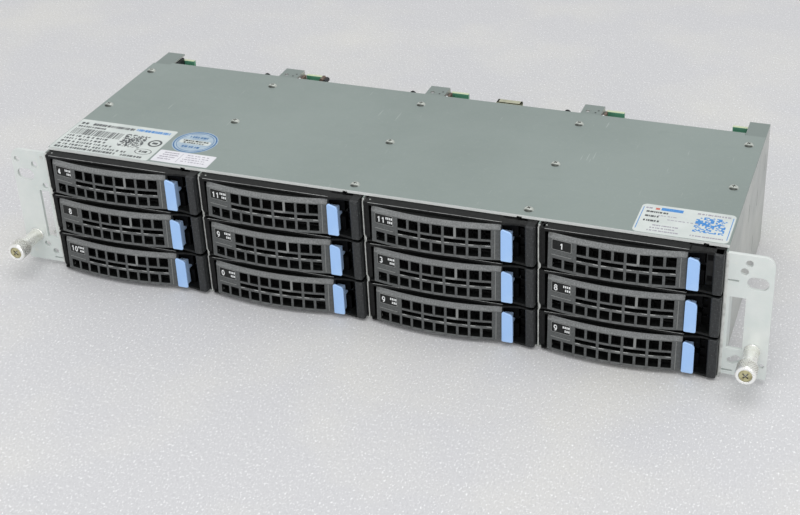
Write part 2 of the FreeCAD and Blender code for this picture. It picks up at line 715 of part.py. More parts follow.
drill_rods = cover_drill()
parts = [
    cage_base(drill_rods),
    top_cover(drill_rods),
    bay_dividers(drill_rods),
    rack_ear("left", -1, 6.8, ("low",),
             [("-237.5", "76.3", 3.6, 3.6, 0), ("-225", "73.8", 4.5, 4.5, 0), ("-219.4", "59.4", 4.0, 4.0, 0),
              ("-225.8", "15.4", 4.2, 4.2, 0), ("-220.4", "10.5", 4.2, 4.2, 0)]),
    rack_ear("right", 1, 9.1, ("low", "high"),
             [("227.1", "78.2", 4.2, 4.2, 0), ("224.7", "72.7", 4.4, 4.4, 0), ("222.4", "13.6", 8.0, 4.6, 30),
              ("238.2", "12", 3.0, 3.0, 0)]),
    backplane_board(),
    board_connectors(),
    fasteners(),
]
for ear_side, ear_sign in (("left", -1), ("right", 1)):
    parts.append(spring_collar(ear_side, ear_sign))
    parts.append(thumbscrew(ear_side, ear_sign))

masters = {"carrier": carrier_master(), "lever": lever_master(), "latch": latch_master(),
           "drive": drive_master()}
for bay_column in range(1, COLUMNS + 1):
    for bay_row in range(1, ROWS + 1):
        for piece, master in masters.items():
            instance = grouped(f"{piece}_c{bay_column}r{bay_row}", [master])
            place(instance, bay_left(bay_column), "0", row_floor(bay_row))
            parts.append(instance)

doc.recompute()

broken = [item.Name for item in doc.Objects if "Invalid" in item.State or "Error" in item.State]
if broken:
    raise RuntimeError(f"objects failed to compute: {broken}")
os.makedirs("parts", exist_ok=True)
for part in parts:
    shape = part.Shape
    if shape.isNull() or not shape.isValid():
        raise RuntimeError(f"{part.Name} has no valid shape")
    part.Label = part.Name
    shape.exportStep(f"parts/{part.Label}.step")
    print(part.Label, len(shape.Solids), round(shape.Volume))
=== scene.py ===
import math
import random

import bmesh
import bpy
from mathutils import Matrix, Vector


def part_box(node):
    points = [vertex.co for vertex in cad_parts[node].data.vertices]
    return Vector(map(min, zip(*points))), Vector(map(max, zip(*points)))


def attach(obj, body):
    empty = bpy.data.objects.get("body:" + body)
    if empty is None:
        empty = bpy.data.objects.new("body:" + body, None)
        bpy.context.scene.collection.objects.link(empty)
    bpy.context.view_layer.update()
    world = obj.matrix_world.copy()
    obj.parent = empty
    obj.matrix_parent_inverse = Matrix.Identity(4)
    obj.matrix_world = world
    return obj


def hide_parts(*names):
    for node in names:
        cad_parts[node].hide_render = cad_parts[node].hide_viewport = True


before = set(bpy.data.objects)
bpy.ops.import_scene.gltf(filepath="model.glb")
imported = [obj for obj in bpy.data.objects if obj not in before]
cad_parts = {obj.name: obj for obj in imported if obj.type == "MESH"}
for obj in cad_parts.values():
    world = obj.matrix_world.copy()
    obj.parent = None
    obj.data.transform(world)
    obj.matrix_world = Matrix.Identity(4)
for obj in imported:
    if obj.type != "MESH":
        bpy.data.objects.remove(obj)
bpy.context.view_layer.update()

# A rack cage for twelve hot-swap drives.  Shapes are written in millimetres and scaled to
# metres when their mesh is made.  A bay's pieces are written from the bay's own corner: x from
# the middle of the divider on its left, y from the ears' front plane, z from the bay's floor.

MM = 0.001
COLUMNS = 4
ROWS = 3
BAYS = [(column, row) for column in range(1, COLUMNS + 1) for row in range(1, ROWS + 1)]

FIRST_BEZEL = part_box("carrier_c1r3")[0] / MM
COLUMN_PITCH = (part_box("carrier_c2r3")[0] / MM).x - FIRST_BEZEL.x
ROW_PITCH = (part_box("carrier_c1r2")[0] / MM).z - FIRST_BEZEL.z
FLOOR_GAUGE = 1.0
COVER_TOP = (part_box("top_cover")[1] / MM).z
BOARD_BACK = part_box("backplane_board")[1].y / MM

# the number on each carrier, by column, from the top row down
NUMBERS = [("4", "8", "10"), ("11", "9", "0"), ("11", "3", "9"), ("1", "8", "9")]
PLAIN_NUMBERS = {(1, 2), (4, 1)}
SHUTTERED_BAY = (4, 1)

SHARP = math.radians(35)
FACE_UP = Matrix.Rotation(-math.pi / 2, 3, "X")


# ---- solids --------------------------------------------------------------------------

def closed(solid):
    """The solid with every face turned outwards."""
    bmesh.ops.recalc_face_normals(solid, faces=solid.faces)
    return solid


def rectangle(left, right, low, high):
    return [(left, low), (right, low), (right, high), (left, high)]


def prism(outline, low, high, axis="z", taper=1.0):
    """A closed solid: an outline in the plane across an axis, carried from low to high."""
    turn = {"z": lambda a, b, t: (a, b, t), "y": lambda a, b, t: (a, t, b),
            "x": lambda a, b, t: (t, a, b)}[axis]
    solid = bmesh.new()
    near = [solid.verts.new(turn(a, b, low)) for a, b in outline]
    far = [solid.verts.new(turn(a * taper, b * taper, high)) for a, b in outline]
    solid.faces.new(near)
    solid.faces.new(far[::-1])
    for i in range(len(outline)):
        j = (i + 1) % len(outline)
        solid.faces.new((near[i], far[i], far[j], near[j]))
    return closed(solid)


def box(x, y, z):
    return prism(rectangle(*x, *y), *z)


def skin(solid, rings):
    """Adds faces from each ring to the next.  A ring may be one vertex repeated."""
    for inner, outer in zip(rings, rings[1:]):
        for k in range(len(inner)):
            corners = dict.fromkeys((inner[k], inner[k - 1], outer[k - 1], outer[k]))
            if len(corners) > 2:
                solid.faces.new(list(corners))


def lathe(profile, segments=32):
    """A closed solid turned about the Y axis.  The profile is a row of (radius, y)."""
    solid = bmesh.new()
    rings = []
    for radius, y in profile:
        if radius == 0:
            rings.append([solid.verts.new((0, y, 0))] * segments)
            continue
        turns = [math.tau * k / segments for k in range(segments)]
        rings.append([solid.verts.new((radius * math.cos(t), y, radius * math.sin(t)))
                      for t in turns])
    skin(solid, rings)
    return closed(solid)


def tube(profile, segments):
    """A turned solid whose profile is a loop clear of the axis."""
    solid = lathe(profile + profile[:1], segments)
    bmesh.ops.remove_doubles(solid, verts=solid.verts, dist=1e-5)
    return solid


def arc(centre, radius, start, end, steps=8):
    """Points along an arc, angles in degrees."""
    turns = [math.radians(start + (end - start) * k / steps) for k in range(steps + 1)]
    return [(centre[0] + radius * math.cos(t), centre[1] + radius * math.sin(t)) for t in turns]


def circle(centre, radius, steps):
    return arc(centre, radius, 0, 360, steps)[:-1]


def rounded_rectangle(left, right, low, high, radius, steps=5):
    points = []
    for x, y, start in ((right - radius, low + radius, -90), (right - radius, high - radius, 0),
                        (left + radius, high - radius, 90), (left + radius, low + radius, 180)):
        points += arc((x, y), radius, start, start + 90, steps)
    return points


def sharp_edges(solid, angle):
    limit = math.radians(angle)
    return [e for e in solid.edges if len(e.link_faces) == 2 and e.calc_face_angle() > limit]


def put(name, data):
    """A new object in the scene."""
    thing = bpy.data.objects.new(name, data)
    bpy.context.scene.collection.objects.link(thing)
    return thing


def discard(thing):
    mesh = thing.data
    bpy.data.objects.remove(thing)
    bpy.data.meshes.remove(mesh)


def shade_evenly(thing):
    """Weights an object's normals by area, so that flat faces beside a bevel stay flat."""
    even = thing.modifiers.new("even", "WEIGHTED_NORMAL")
    even.weight = 100
    even.keep_sharp = True


class Piece:
    """Gathers closed solids, in millimetres, into one mesh with several materials."""

    def __init__(self):
        self.mesh = bmesh.new()

    def add(self, solid, bevel=0.0, material=0, segments=2, move=(0, 0, 0), turn=None, angle=30):
        """Adds a solid, its sharp edges bevelled.  With material None its faces keep theirs."""
        if bevel:
            bmesh.ops.bevel(solid, geom=sharp_edges(solid, angle), offset=bevel,
                            segments=segments, profile=0.5, affect="EDGES", clamp_overlap=True)
        matrix = Matrix.Translation(move) @ (turn.to_4x4() if turn else Matrix.Identity(4))
        bmesh.ops.transform(solid, matrix=matrix, verts=solid.verts)
        if material is not None:
            for face in solid.faces:
                face.material_index = material
        shuttle = bpy.data.meshes.new("shuttle")
        solid.to_mesh(shuttle)
        solid.free()
        self.mesh.from_mesh(shuttle)
        bpy.data.meshes.remove(shuttle)

    def finish(self, name, *looks):
        """The mesh in metres, with its looks in the order of the material numbers."""
        bmesh.ops.scale(self.mesh, vec=(MM, MM, MM), verts=self.mesh.verts)
        mesh = bpy.data.meshes.new(name)
        self.mesh.to_mesh(mesh)
        self.mesh.free()
        for look in looks:
            mesh.materials.append(LOOKS[look])
        mesh.shade_smooth()
        mesh.set_sharp_from_angle(angle=SHARP)
        thing = put(name, mesh)
        shade_evenly(thing)
        bpy.context.view_layer.update()
        depsgraph = bpy.context.evaluated_depsgraph_get()
        result = bpy.data.meshes.new_from_object(
            thing.evaluated_get(depsgraph), preserve_all_data_layers=True, depsgraph=depsgraph)
        discard(thing)
        return result


def show(name, mesh, body, at=(0, 0, 0), replaces=None):
    """Puts a mesh in the scene, riding on a body, and standing for a node if it replaces one."""
    thing = put(name, mesh)
    thing.location = Vector(at) * MM
    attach(thing, body)
    if replaces:
        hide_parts(replaces)


def divider_x(n):
    """Where the middle of a divider stands, from 0 at the left wall to COLUMNS at the right."""
    return -2 * COLUMN_PITCH + n * COLUMN_PITCH


def bay_corner(column, row):
    return Vector((divider_x(column - 1), 0, FLOOR_GAUGE + (ROWS - row) * ROW_PITCH))


# ---- materials -----------------------------------------------------------------------

LOOKS = {}


def linear(colour):
    """An sRGB colour, 0 to 255, as the linear values that Blender takes."""
    shares = [channel / 255 for channel in colour]
    return (*(c / 12.92 if c <= 0.04045 else ((c + 0.055) / 1.055) ** 2.4 for c in shares), 1.0)


class Shader:
    """Builds one node material step by step, and files it in LOOKS.

    Its colour so far is a value, or a node's output once something is mixed in.
    A noise is given as (scale, detail, roughness, stretch), with its scale in cycles per metre.
    A span is the range of a value to map, and the range that it maps to if that isn't 0 to 1.
    """

    def __init__(self, name, colour, roughness, metallic=0.0, specular=0.5):
        LOOKS[name] = material = bpy.data.materials.new(name)
        material.use_nodes = True
        self.tree = material.node_tree
        self.shader = self.tree.nodes["Principled BSDF"]
        self.colour = linear(colour)
        self.roughness = roughness
        self.fill(self.shader, Base_Color=self.colour, Roughness=roughness, Metallic=metallic,
                  Specular_IOR_Level=specular)
        self.coordinates = self.add("TexCoord")["Object"]

    def fill(self, node, **inputs):
        """Sets a node's inputs to values, or links them to other nodes' outputs."""
        for name, value in inputs.items():
            socket = node.inputs[name.replace("_", " ")]
            if isinstance(value, bpy.types.NodeSocket):
                self.tree.links.new(value, socket)
            else:
                socket.default_value = value

    def add(self, kind, settings=(), **inputs):
        node = self.tree.nodes.new("ShaderNode" + kind)
        for key, value in settings:
            setattr(node, key, value)
        self.fill(node, **inputs)
        return node.outputs

    def noise(self, scale, detail=3.0, roughness=0.5, stretch=(1, 1, 1)):
        place = self.add("Mapping", Vector=self.coordinates, Scale=stretch)["Vector"]
        return self.add("TexNoise", Vector=place, Scale=scale, Detail=detail,
                        Roughness=roughness)["Fac"]

    def remap(self, value, low, high, to_low=0.0, to_high=1.0):
        return self.add("MapRange", Value=value, From_Min=low, From_Max=high, To_Min=to_low,
                        To_Max=to_high)["Result"]

    def facing(self, axis, low, high):
        """How far a surface faces along an axis, from 0 to 1."""
        normal = self.add("NewGeometry")["Normal"]
        return self.remap(self.add("SeparateXYZ", Vector=normal)[axis], low, high)

    def tint(self, colour, amount):
        """Mixes another colour in, by an amount from 0 to 1."""
        self.colour = self.add("Mix", [("data_type", "RGBA")], A=self.colour, B=linear(colour),
                               Factor=amount)["Result"]
        self.fill(self.shader, Base_Color=self.colour)
        return self

    def mottle(self, colour, noise, *span):
        """Another colour in patches."""
        return self.tint(colour, self.remap(self.noise(*noise), *span))

    def side(self, colour, axis, low, high):
        """Another colour where the surface faces along an axis."""
        return self.tint(colour, self.facing(axis, low, high))

    def dust(self, colour, low, high, noise, *span):
        """Another colour in patches where the surface faces up."""
        product = self.tree.nodes.new("ShaderNodeMath")
        product.operation = "MULTIPLY"
        patches = self.remap(self.noise(*noise), *span)
        for value, socket in zip((self.facing("Z", low, high), patches), product.inputs):
            self.tree.links.new(value, socket)
        return self.tint(colour, product.outputs["Value"])

    def edge_light_and_crease_shade(self, colour, *span):
        """Another colour where the surface turns sharply, outwards above 0.5: painted highlights
        on edges and painted shade in creases.
        """
        return self.tint(colour, self.remap(self.add("NewGeometry")["Pointiness"], *span))

    def vary(self, value, spread):
        low, high = self.roughness - spread, self.roughness + spread
        self.fill(self.shader, Roughness=self.remap(value, 0.3, 0.7, low, high))
        return self

    def roughen(self, noise, spread):
        """Roughness that wanders about its middle."""
        return self.vary(self.noise(*noise), spread)

    def spangle(self, scale, spread):
        """Roughness that changes from cell to cell, as on zinc."""
        cells = self.add("TexVoronoi", Vector=self.coordinates, Scale=scale)
        return self.vary(cells["Color"], spread)

    def relief(self, value, depth):
        """Adds bump, with its depth in millimetres."""
        bump = self.add("Bump", Distance=depth * MM, Height=value)["Normal"]
        self.fill(self.shader, Normal=bump)
        return self

    def grain(self, noise, depth):
        return self.relief(self.noise(*noise), depth)

    def tracks(self, colour):
        """A circuit board's tracks, as raised rows of long bricks."""
        upright = self.add("Mapping", Vector=self.coordinates, Rotation=(math.pi / 2, 0, 0))
        bricks = self.add("TexBrick", [("offset", 0.35)], Vector=upright["Vector"], Scale=90.0,
                          Mortar_Size=0.03, Brick_Width=1.4, Row_Height=0.22)["Fac"]
        self.tint(colour, self.remap(bricks, 0, 1, 0, 0.7))
        return self.relief(bricks, 0.03)


# cover steel; its front-facing faces, the hem, are painted near white as a highlight
(Shader("cover_steel", (140, 151, 147), 0.5, 0.15)
 .mottle((132, 143, 139), (9, 4), 0.35, 0.7)
 .mottle((155, 164, 161), (600, 2), 0.6, 0.8, 0, 0.35)
 .mottle((120, 131, 127), (35, 6, 0.7, (1, 3, 1)), 0.6, 0.85, 0, 0.4)
 .mottle((200, 206, 203), (60, 2, 0.4, (14, 0.7, 1)), 0.74, 0.78, 0, 0.35)
 .side((228, 231, 229), "Y", -0.35, -0.8).roughen((70, 4), 0.08).grain((1800, 2), 0.01))
(Shader("cage_steel", (190, 192, 188), 0.42, 0.45)
 .mottle((172, 176, 173), (22, 5, 0.6), 0.4, 0.7)
 .mottle((210, 212, 208), (500, 2), 0.6, 0.8, 0, 0.4)
 .side((138, 149, 145), "Z", 0.5, 0.9).roughen((60, 4), 0.08).grain((1500, 2), 0.01))
(Shader("ear_zinc", (220, 224, 221), 0.42, 0.25)
 .mottle((206, 214, 211), (40, 5, 0.6), 0.35, 0.7)
 .mottle((226, 226, 214), (150, 3), 0.62, 0.8, 0, 0.6)
 .mottle((180, 184, 178), (90, 5, 0.8), 0.68, 0.8, 0, 0.35)
 .spangle(260, 0.09).grain((1100, 3), 0.02))
(Shader("bright_edge", (216, 218, 214), 0.35, 0.5)
 .mottle((170, 172, 168), (220, 3), 0.45, 0.75).grain((900, 2), 0.02))
(Shader("circuit_board", (88, 152, 122), 0.4)
 .tracks((110, 176, 142)).mottle((66, 128, 102), (120, 3), 0.4, 0.8, 0, 0.6)
 .side((196, 206, 172), "Z", 0.5, 0.9).roughen((90, 3), 0.08))
(Shader("connector_tan", (176, 176, 152), 0.5)
 .mottle((150, 152, 130), (260, 4), 0.4, 0.75).grain((1500, 2), 0.02))
(Shader("connector_black", (34, 35, 37), 0.48)
 .mottle((52, 53, 55), (400, 4), 0.45, 0.75).grain((1600, 2), 0.02))
(Shader("connector_brown", (92, 76, 66), 0.45)
 .mottle((120, 104, 92), (300, 3), 0.4, 0.75).grain((1500, 2), 0.02))
(Shader("contact_gold", (212, 176, 96), 0.3, 1.0)
 .mottle((180, 148, 84), (700, 2), 0.4, 0.8).roughen((300, 2), 0.06))
(Shader("screw_nickel", (196, 200, 196), 0.32, 0.85)
 .mottle((160, 164, 160), (500, 3), 0.4, 0.75).roughen((400, 3), 0.08).grain((1400, 2), 0.015))
# cover screws; the side of each head that faces the front is painted dark as shade
(Shader("screw_dull_front_shaded", (204, 208, 202), 0.42, 0.5)
 .mottle((176, 182, 174), (500, 3), 0.4, 0.75)
 .side((70, 74, 70), "Y", -0.25, -0.6).roughen((400, 3), 0.06).grain((1400, 2), 0.015))
# knob and ferrule metal; grooves are painted darker as shade and ridges lighter as a painted
# highlight
(Shader("thumbscrew_metal", (236, 236, 230), 0.3, 0.65)
 .mottle((214, 212, 200), (300, 3), 0.45, 0.8)
 .edge_light_and_crease_shade((128, 126, 114), 0.49, 0.44).edge_light_and_crease_shade((250, 250, 248), 0.51, 0.56)
 .roughen((350, 3), 0.08).grain((1400, 2), 0.012))
(Shader("screw_yellow", (196, 190, 150), 0.36, 0.7)
 .mottle((150, 142, 104), (500, 3), 0.45, 0.75).roughen((350, 3), 0.08))
# the screw's cross recess, painted darker as shade
(Shader("recess_painted_shade", (58, 54, 44), 0.45, 0.6)
 .mottle((84, 78, 62), (600, 3), 0.4, 0.75))
# near black for the bezel's inner surfaces: painted shade in its hollows
(Shader("interior_painted_shade", (6, 6, 7), 0.6, specular=0.1)
 .mottle((18, 19, 19), (700, 4, 0.7), 0.5, 0.8, 0, 0.7).roughen((500, 3), 0.06))
(Shader("bezel_plastic", (14, 15, 15), 0.42, specular=0.2)
 .mottle((36, 37, 37), (900, 3), 0.5, 0.78, 0, 0.8)
 .dust((60, 62, 61), 0.3, 1.0, (500, 4, 0.7), 0.45, 0.8, 0, 0.25)
 .grain((2400, 2), 0.05).roughen((500, 3), 0.07))
(Shader("grip_plastic", (38, 40, 41), 0.4, specular=0.35)
 .mottle((74, 76, 78), (1100, 4, 0.7), 0.5, 0.75, 0, 0.8)
 .mottle((128, 130, 130), (1600, 2), 0.66, 0.74, 0, 0.8)
 .grain((1800, 3), 0.06).roughen((500, 3), 0.07))
# lever plastic; its sharp edges are painted lighter, partly as wear and partly as a painted
# highlight
(Shader("lever_plastic", (70, 72, 72), 0.5)
 .mottle((90, 93, 93), (1000, 3), 0.42, 0.75)
 .dust((136, 137, 134), 0.25, 0.9, (900, 5, 0.8), 0.3, 0.65, 0.35, 1.0)
 .edge_light_and_crease_shade((168, 170, 168), 0.53, 0.6, 0, 0.4).grain((2200, 2), 0.06).roughen((600, 3), 0.06))
# the sparked, dusty band along the lever's upper edge
(Shader("strip_plastic", (100, 102, 102), 0.62)
 .mottle((136, 138, 138), (1300, 4, 0.8), 0.42, 0.62)
 .mottle((84, 85, 84), (1700, 3, 0.8), 0.55, 0.72, 0, 0.8).grain((1500, 3), 0.12))
# painted highlights: a light plastic for the edges and lips that catch the light
(Shader("highlight_plastic", (176, 178, 176), 0.4)
 .mottle((132, 134, 133), (420, 3, 0.6), 0.45, 0.65).grain((1500, 2), 0.03))
# dark plastic, also used as painted shade on the lever's opening walls, back and top
(Shader("dark_plastic", (20, 21, 21), 0.4, specular=0.25)
 .mottle((40, 42, 41), (700, 4, 0.7), 0.45, 0.8, 0, 0.8)
 .grain((2200, 2), 0.03).roughen((300, 3), 0.08))
# latch plastic; its sharp edges are painted lighter as a highlight
(Shader("latch_blue", (148, 188, 238), 0.36)
 .mottle((166, 200, 240), (60, 3), 0.35, 0.7)
 .mottle((126, 164, 214), (700, 4, 0.7), 0.58, 0.8, 0, 0.5)
 .edge_light_and_crease_shade((196, 218, 246), 0.52, 0.58, 0, 0.7).grain((1800, 2), 0.012).roughen((200, 3), 0.05))
(Shader("number_paint", (228, 230, 230), 0.5)
 .mottle((186, 190, 190), (1500, 3), 0.5, 0.75, 0, 0.7).grain((2000, 2), 0.01))
(Shader("label_paper", (205, 211, 208), 0.42)
 .mottle((192, 199, 196), (70, 4), 0.4, 0.7).grain((1200, 2), 0.01))
(Shader("fresh_paper", (222, 222, 226), 0.42)
 .mottle((212, 212, 218), (70, 4), 0.4, 0.7).grain((1200, 2), 0.01))
(Shader("seal_paper", (150, 170, 186), 0.35)
 .mottle((172, 190, 202), (160, 4), 0.4, 0.7).grain((900, 2), 0.01))
(Shader("drive_metal", (150, 153, 156), 0.4, 0.8)
 .mottle((120, 123, 126), (40, 5, 0.6, (1, 6, 1)), 0.4, 0.75)
 .roughen((150, 3), 0.08).grain((1100, 3), 0.02))
SPECKLE = (3, 0.7, (1, 0.55, 1))
(Shader("floor_paper", (202, 202, 204), 0.6)
 .mottle((210, 209, 206), (9, 3), 0.45, 0.7)
 .mottle((182, 182, 185), (800, *SPECKLE), 0.52, 0.72, 0, 0.6)
 .mottle((246, 246, 247), (900, *SPECKLE), 0.56, 0.68, 0, 0.9).grain((900, *SPECKLE), 0.1))
for ink, shade in (("ink_black", (66, 70, 72)), ("ink_blue", (58, 128, 196)),
                   ("ink_red", (190, 96, 80)), ("ink_navy", (52, 100, 150)),
                   ("ink_faint", (150, 146, 158))):
    faded = [c + (225 - c) * 0.3 for c in shade]
    (Shader(ink, shade, 0.5)
     .mottle(faded, (900, 4, 0.7), 0.45, 0.75, 0, 0.8).grain((1800, 2), 0.004))


# ---- the frame's own nodes -----------------------------------------------------------

def dress_node(name, look, bevel, slot=None):
    """Gives a node its material, and softens its sharp edges."""
    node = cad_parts[name]
    node.data.materials.clear()
    node.data.materials.append(LOOKS[look])
    slot or look
    weld = node.modifiers.new("weld", "WELD")
    weld.merge_threshold = 1e-6
    flat = node.modifiers.new("flat", "DECIMATE")
    flat.decimate_type = "DISSOLVE"
    flat.angle_limit = math.radians(1)
    soften = node.modifiers.new("soften", "BEVEL")
    soften.width = bevel * MM
    soften.segments = 2
    soften.limit_method = "ANGLE"
    soften.angle_limit = SHARP
    node.data.shade_smooth()
    node.data.set_sharp_from_angle(angle=SHARP)
    shade_evenly(node)


def dress_frame():
    for name, look, bevel in (
            ("cage_base", "cage_steel", 0.2), ("top_cover", "cover_steel", 0.25),
            ("bay_dividers", "cage_steel", 0.1), ("rack_ear_left", "ear_zinc", 0.3),
            ("rack_ear_right", "ear_zinc", 0.3), ("backplane_board", "circuit_board", 0.15),
            ("spring_collar_left", "screw_nickel", 0.1),
            ("spring_collar_right", "screw_nickel", 0.1)):
        dress_node(name, look, bevel)
    for column, row in BAYS:
        dress_node(f"drive_c{column}r{row}", "drive_metal", 0.5, "drive_case")


# ---- lever ---------------------------------------------------------------------------

LEVER_LEFT, LEVER_RIGHT = 6.5, 85.9
LEVER_BOTTOM, LEVER_EDGE, LEVER_TOP = 1.9, 21.5, 24.7
LEVER_BACK = -0.2
LEVER_MIDDLE = (LEVER_LEFT + LEVER_RIGHT) / 2
LEVER_CENTRE = 176.1
LEVER_RADII = (185.0, 183.7, 182.7)
WALL = 1.6
PIVOT = (7.95, -1.9)
GRILLE_PITCH, GRILLE_HOLE, SLOT_LENGTH = 7.25, 5.7, 12.8
LOWER_START, UPPER_START = LEVER_LEFT + 3.0, LEVER_LEFT + 17.4
LOWER_HOLES, SLOTS, UPPER_HOLES = (3.5, 9.2), (10.9, 13.5), (14.9, 20.9)
BLANK_END_STEPS = (5.6, 9.6, 13.0)
PLATE = (9.2, 20.6, 15.0, 20.9)
# DARK also carries painted shade on the openings' walls, the lever's back and its top; SILL
# carries painted highlights
FRONT, DUSTY, DARK, SILL = range(4)


def lever_face(x, z):
    """Where the lever's front lies: a bow that leans back, then a strip that leans back more."""
    low, edge, top = LEVER_RADII
    if z <= LEVER_EDGE:
        radius = low + (edge - low) * (z - LEVER_BOTTOM) / (LEVER_EDGE - LEVER_BOTTOM)
    else:
        radius = edge + (top - edge) * (z - LEVER_EDGE) / (LEVER_TOP - LEVER_EDGE)
    return LEVER_CENTRE - math.sqrt(radius ** 2 - (x - LEVER_MIDDLE) ** 2)


def grille_holes():
    """Every opening as (left, right, low, high)."""
    rows = [(LOWER_START, GRILLE_PITCH, GRILLE_HOLE, 10, LOWER_HOLES),
            (UPPER_START, 2 * GRILLE_PITCH, SLOT_LENGTH, 4, SLOTS),
            (UPPER_START, GRILLE_PITCH, GRILLE_HOLE, 8, UPPER_HOLES)]
    return [(start + pitch * k, start + pitch * k + length, *heights)
            for start, pitch, length, count, heights in rows for k in range(count)]


def lever_shell():
    """A bowed plate with the grille's openings, and a rim that runs back round its border."""
    holes = grille_holes()
    left, right, low, high = (LEVER_LEFT + WALL, LEVER_RIGHT - WALL,
                              LEVER_BOTTOM + WALL, LEVER_TOP - WALL)
    xs = sorted({LEVER_LEFT, LEVER_RIGHT, left, right, *(h[0] for h in holes),
                 *(h[1] for h in holes), *(LEVER_LEFT + step for step in BLANK_END_STEPS)})
    zs = sorted({LEVER_BOTTOM, LEVER_EDGE, LEVER_TOP, low, high, *(h[2] for h in holes),
                 *(h[3] for h in holes)})
    solid = bmesh.new()
    corners = {}

    def inside(i, k):
        return 0 <= i < len(xs) - 1 and 0 <= k < len(zs) - 1

    def depth_of(i, k):
        """0 outside or in an opening, 1 in the plate, 2 in the rim."""
        if not inside(i, k):
            return 0
        x, z = (xs[i] + xs[i + 1]) / 2, (zs[k] + zs[k + 1]) / 2
        if any(h[0] < x < h[1] and h[2] < z < h[3] for h in holes):
            return 0
        return 1 if left < x < right and low < z < high else 2

    def wall_material(i, k, dk):
        """The slots' sills get a painted highlight; the openings' other walls and the lever's top
        get painted shade.
        """
        if inside(i, k):
            return DARK if dk >= 0 else SILL if zs[k] == SLOTS[0] else FRONT
        return DARK if k >= len(zs) - 1 else FRONT

    def corner(i, k, level):
        if (i, k, level) not in corners:
            front = lever_face(xs[i], zs[k])
            y = (front, front + WALL, LEVER_BACK)[level]
            corners[i, k, level] = solid.verts.new((xs[i], y, zs[k]))
        return corners[i, k, level]

    for i in range(len(xs) - 1):
        for k in range(len(zs) - 1):
            depth = depth_of(i, k)
            if not depth:
                continue
            square = ((i, k), (i + 1, k), (i + 1, k + 1), (i, k + 1))
            front = solid.faces.new([corner(*p, 0) for p in square])
            front.material_index = DUSTY if zs[k] >= LEVER_EDGE else FRONT
            # the plate's back, seen through the openings, is painted dark as shade
            back = solid.faces.new([corner(*p, depth) for p in reversed(square)])
            back.material_index = DARK
            for (a, b), (di, dk) in zip(zip(square, square[1:] + square[:1]),
                                        ((0, -1), (1, 0), (0, 1), (-1, 0))):
                for level in range(depth_of(i + di, k + dk), depth):
                    wall = solid.faces.new([corner(*b, level), corner(*a, level),
                                            corner(*a, level + 1), corner(*b, level + 1)])
                    wall.material_index = wall_material(i + di, k + dk, dk)
    closed(solid)
    bmesh.ops.bevel(solid, geom=sharp_edges(solid, 40), offset=0.22, segments=2, profile=0.5,
                    affect="EDGES", clamp_overlap=True, material=-1)
    return solid


def follow_lever(solid, lift, thickness):
    """Bends a solid, flat from y 0 to 1, onto the lever's face."""
    bmesh.ops.triangulate(solid, faces=[f for f in solid.faces if len(f.verts) > 4])
    for vert in solid.verts:
        forward = lift + thickness * (1 - vert.co.y)
        vert.co.y = lever_face(vert.co.x, vert.co.z) - forward
    return solid


def laid_on_lever(outline, lift, thickness):
    return follow_lever(prism(outline, 0, 1, "y"), lift, thickness)


def lever_mesh():
    piece = Piece()
    piece.add(lever_shell(), material=None)
    left, right, low, high = PLATE
    rim, sunk = 0.35, -0.1
    plate_edge = (left - rim, right + rim, low - rim, high + rim)
    piece.add(laid_on_lever(rounded_rectangle(*plate_edge, 0.6, 3), sunk, 0.22))
    piece.add(laid_on_lever(rounded_rectangle(*PLATE, 0.4, 3), 0.1, 0.1), material=DARK)
    ledge = SLOTS[0] + 0.3
    piece.add(laid_on_lever(rectangle(left - rim, right + rim, ledge, ledge + 0.4), sunk, 0.25))
    line = LEVER_RIGHT - 3.4
    piece.add(laid_on_lever(rectangle(line, line + 0.4, LEVER_BOTTOM + 0.8, LEVER_EDGE - 0.5),
                            sunk, 0.28))
    # hinge eyes at the lever's left end
    eye = 2.2
    for z in (LEVER_BOTTOM, LEVER_TOP - eye):
        piece.add(prism(circle(PIVOT, 1.4, 20), z, z + eye), 0.15)
    # the catch that the latch holds
    catch = (LEVER_RIGHT - 2.2, LEVER_RIGHT - 0.2)
    piece.add(box(catch, (-2.6, LEVER_BACK), (10.5, 16.5)), 0.3)
    # painted highlights on the lips under the slots
    for left, right, low, _ in grille_holes():
        if low == SLOTS[0]:
            lip = rectangle(left, right, low - 0.4, low)
            piece.add(laid_on_lever(lip, sunk, 0.16), material=SILL)
    return piece.finish("lever", "lever_plastic", "strip_plastic", "dark_plastic",
                        "highlight_plastic")


def ribbon(points, width, loop=False):
    """A flat stroke of even width along points in x and z, from y 0 to 1."""
    solid = bmesh.new()
    last = len(points) - 1
    rows = []
    for i, (x, z) in enumerate(points):
        before = points[i - 1] if i or loop else points[0]
        after = points[(i + 1) % len(points)] if i < last or loop else points[last]
        dx, dz = after[0] - before[0], after[1] - before[1]
        half = width / 2 / math.hypot(dx, dz)
        rows.append([solid.verts.new((x - side * dz * half, y, z + side * dx * half))
                     for side, y in ((1, 0), (-1, 0), (-1, 1), (1, 1))])
    for a, b in zip(rows, rows[1:] + rows[:1] if loop else rows[1:]):
        for k in range(4):
            solid.faces.new((a[k - 1], a[k], b[k], b[k - 1]))
    if not loop:
        solid.faces.new(rows[0])
        solid.faces.new(rows[-1])
    return closed(solid)


def oval(x, z, across, up, start=0, end=360):
    """Points round an oval; a whole one doesn't repeat its first point."""
    points = arc((0, 0), 1, start, end, 18)
    if end - start == 360:
        points = points[:-1]
    return [(x + across * a, z + up * b) for a, b in points]


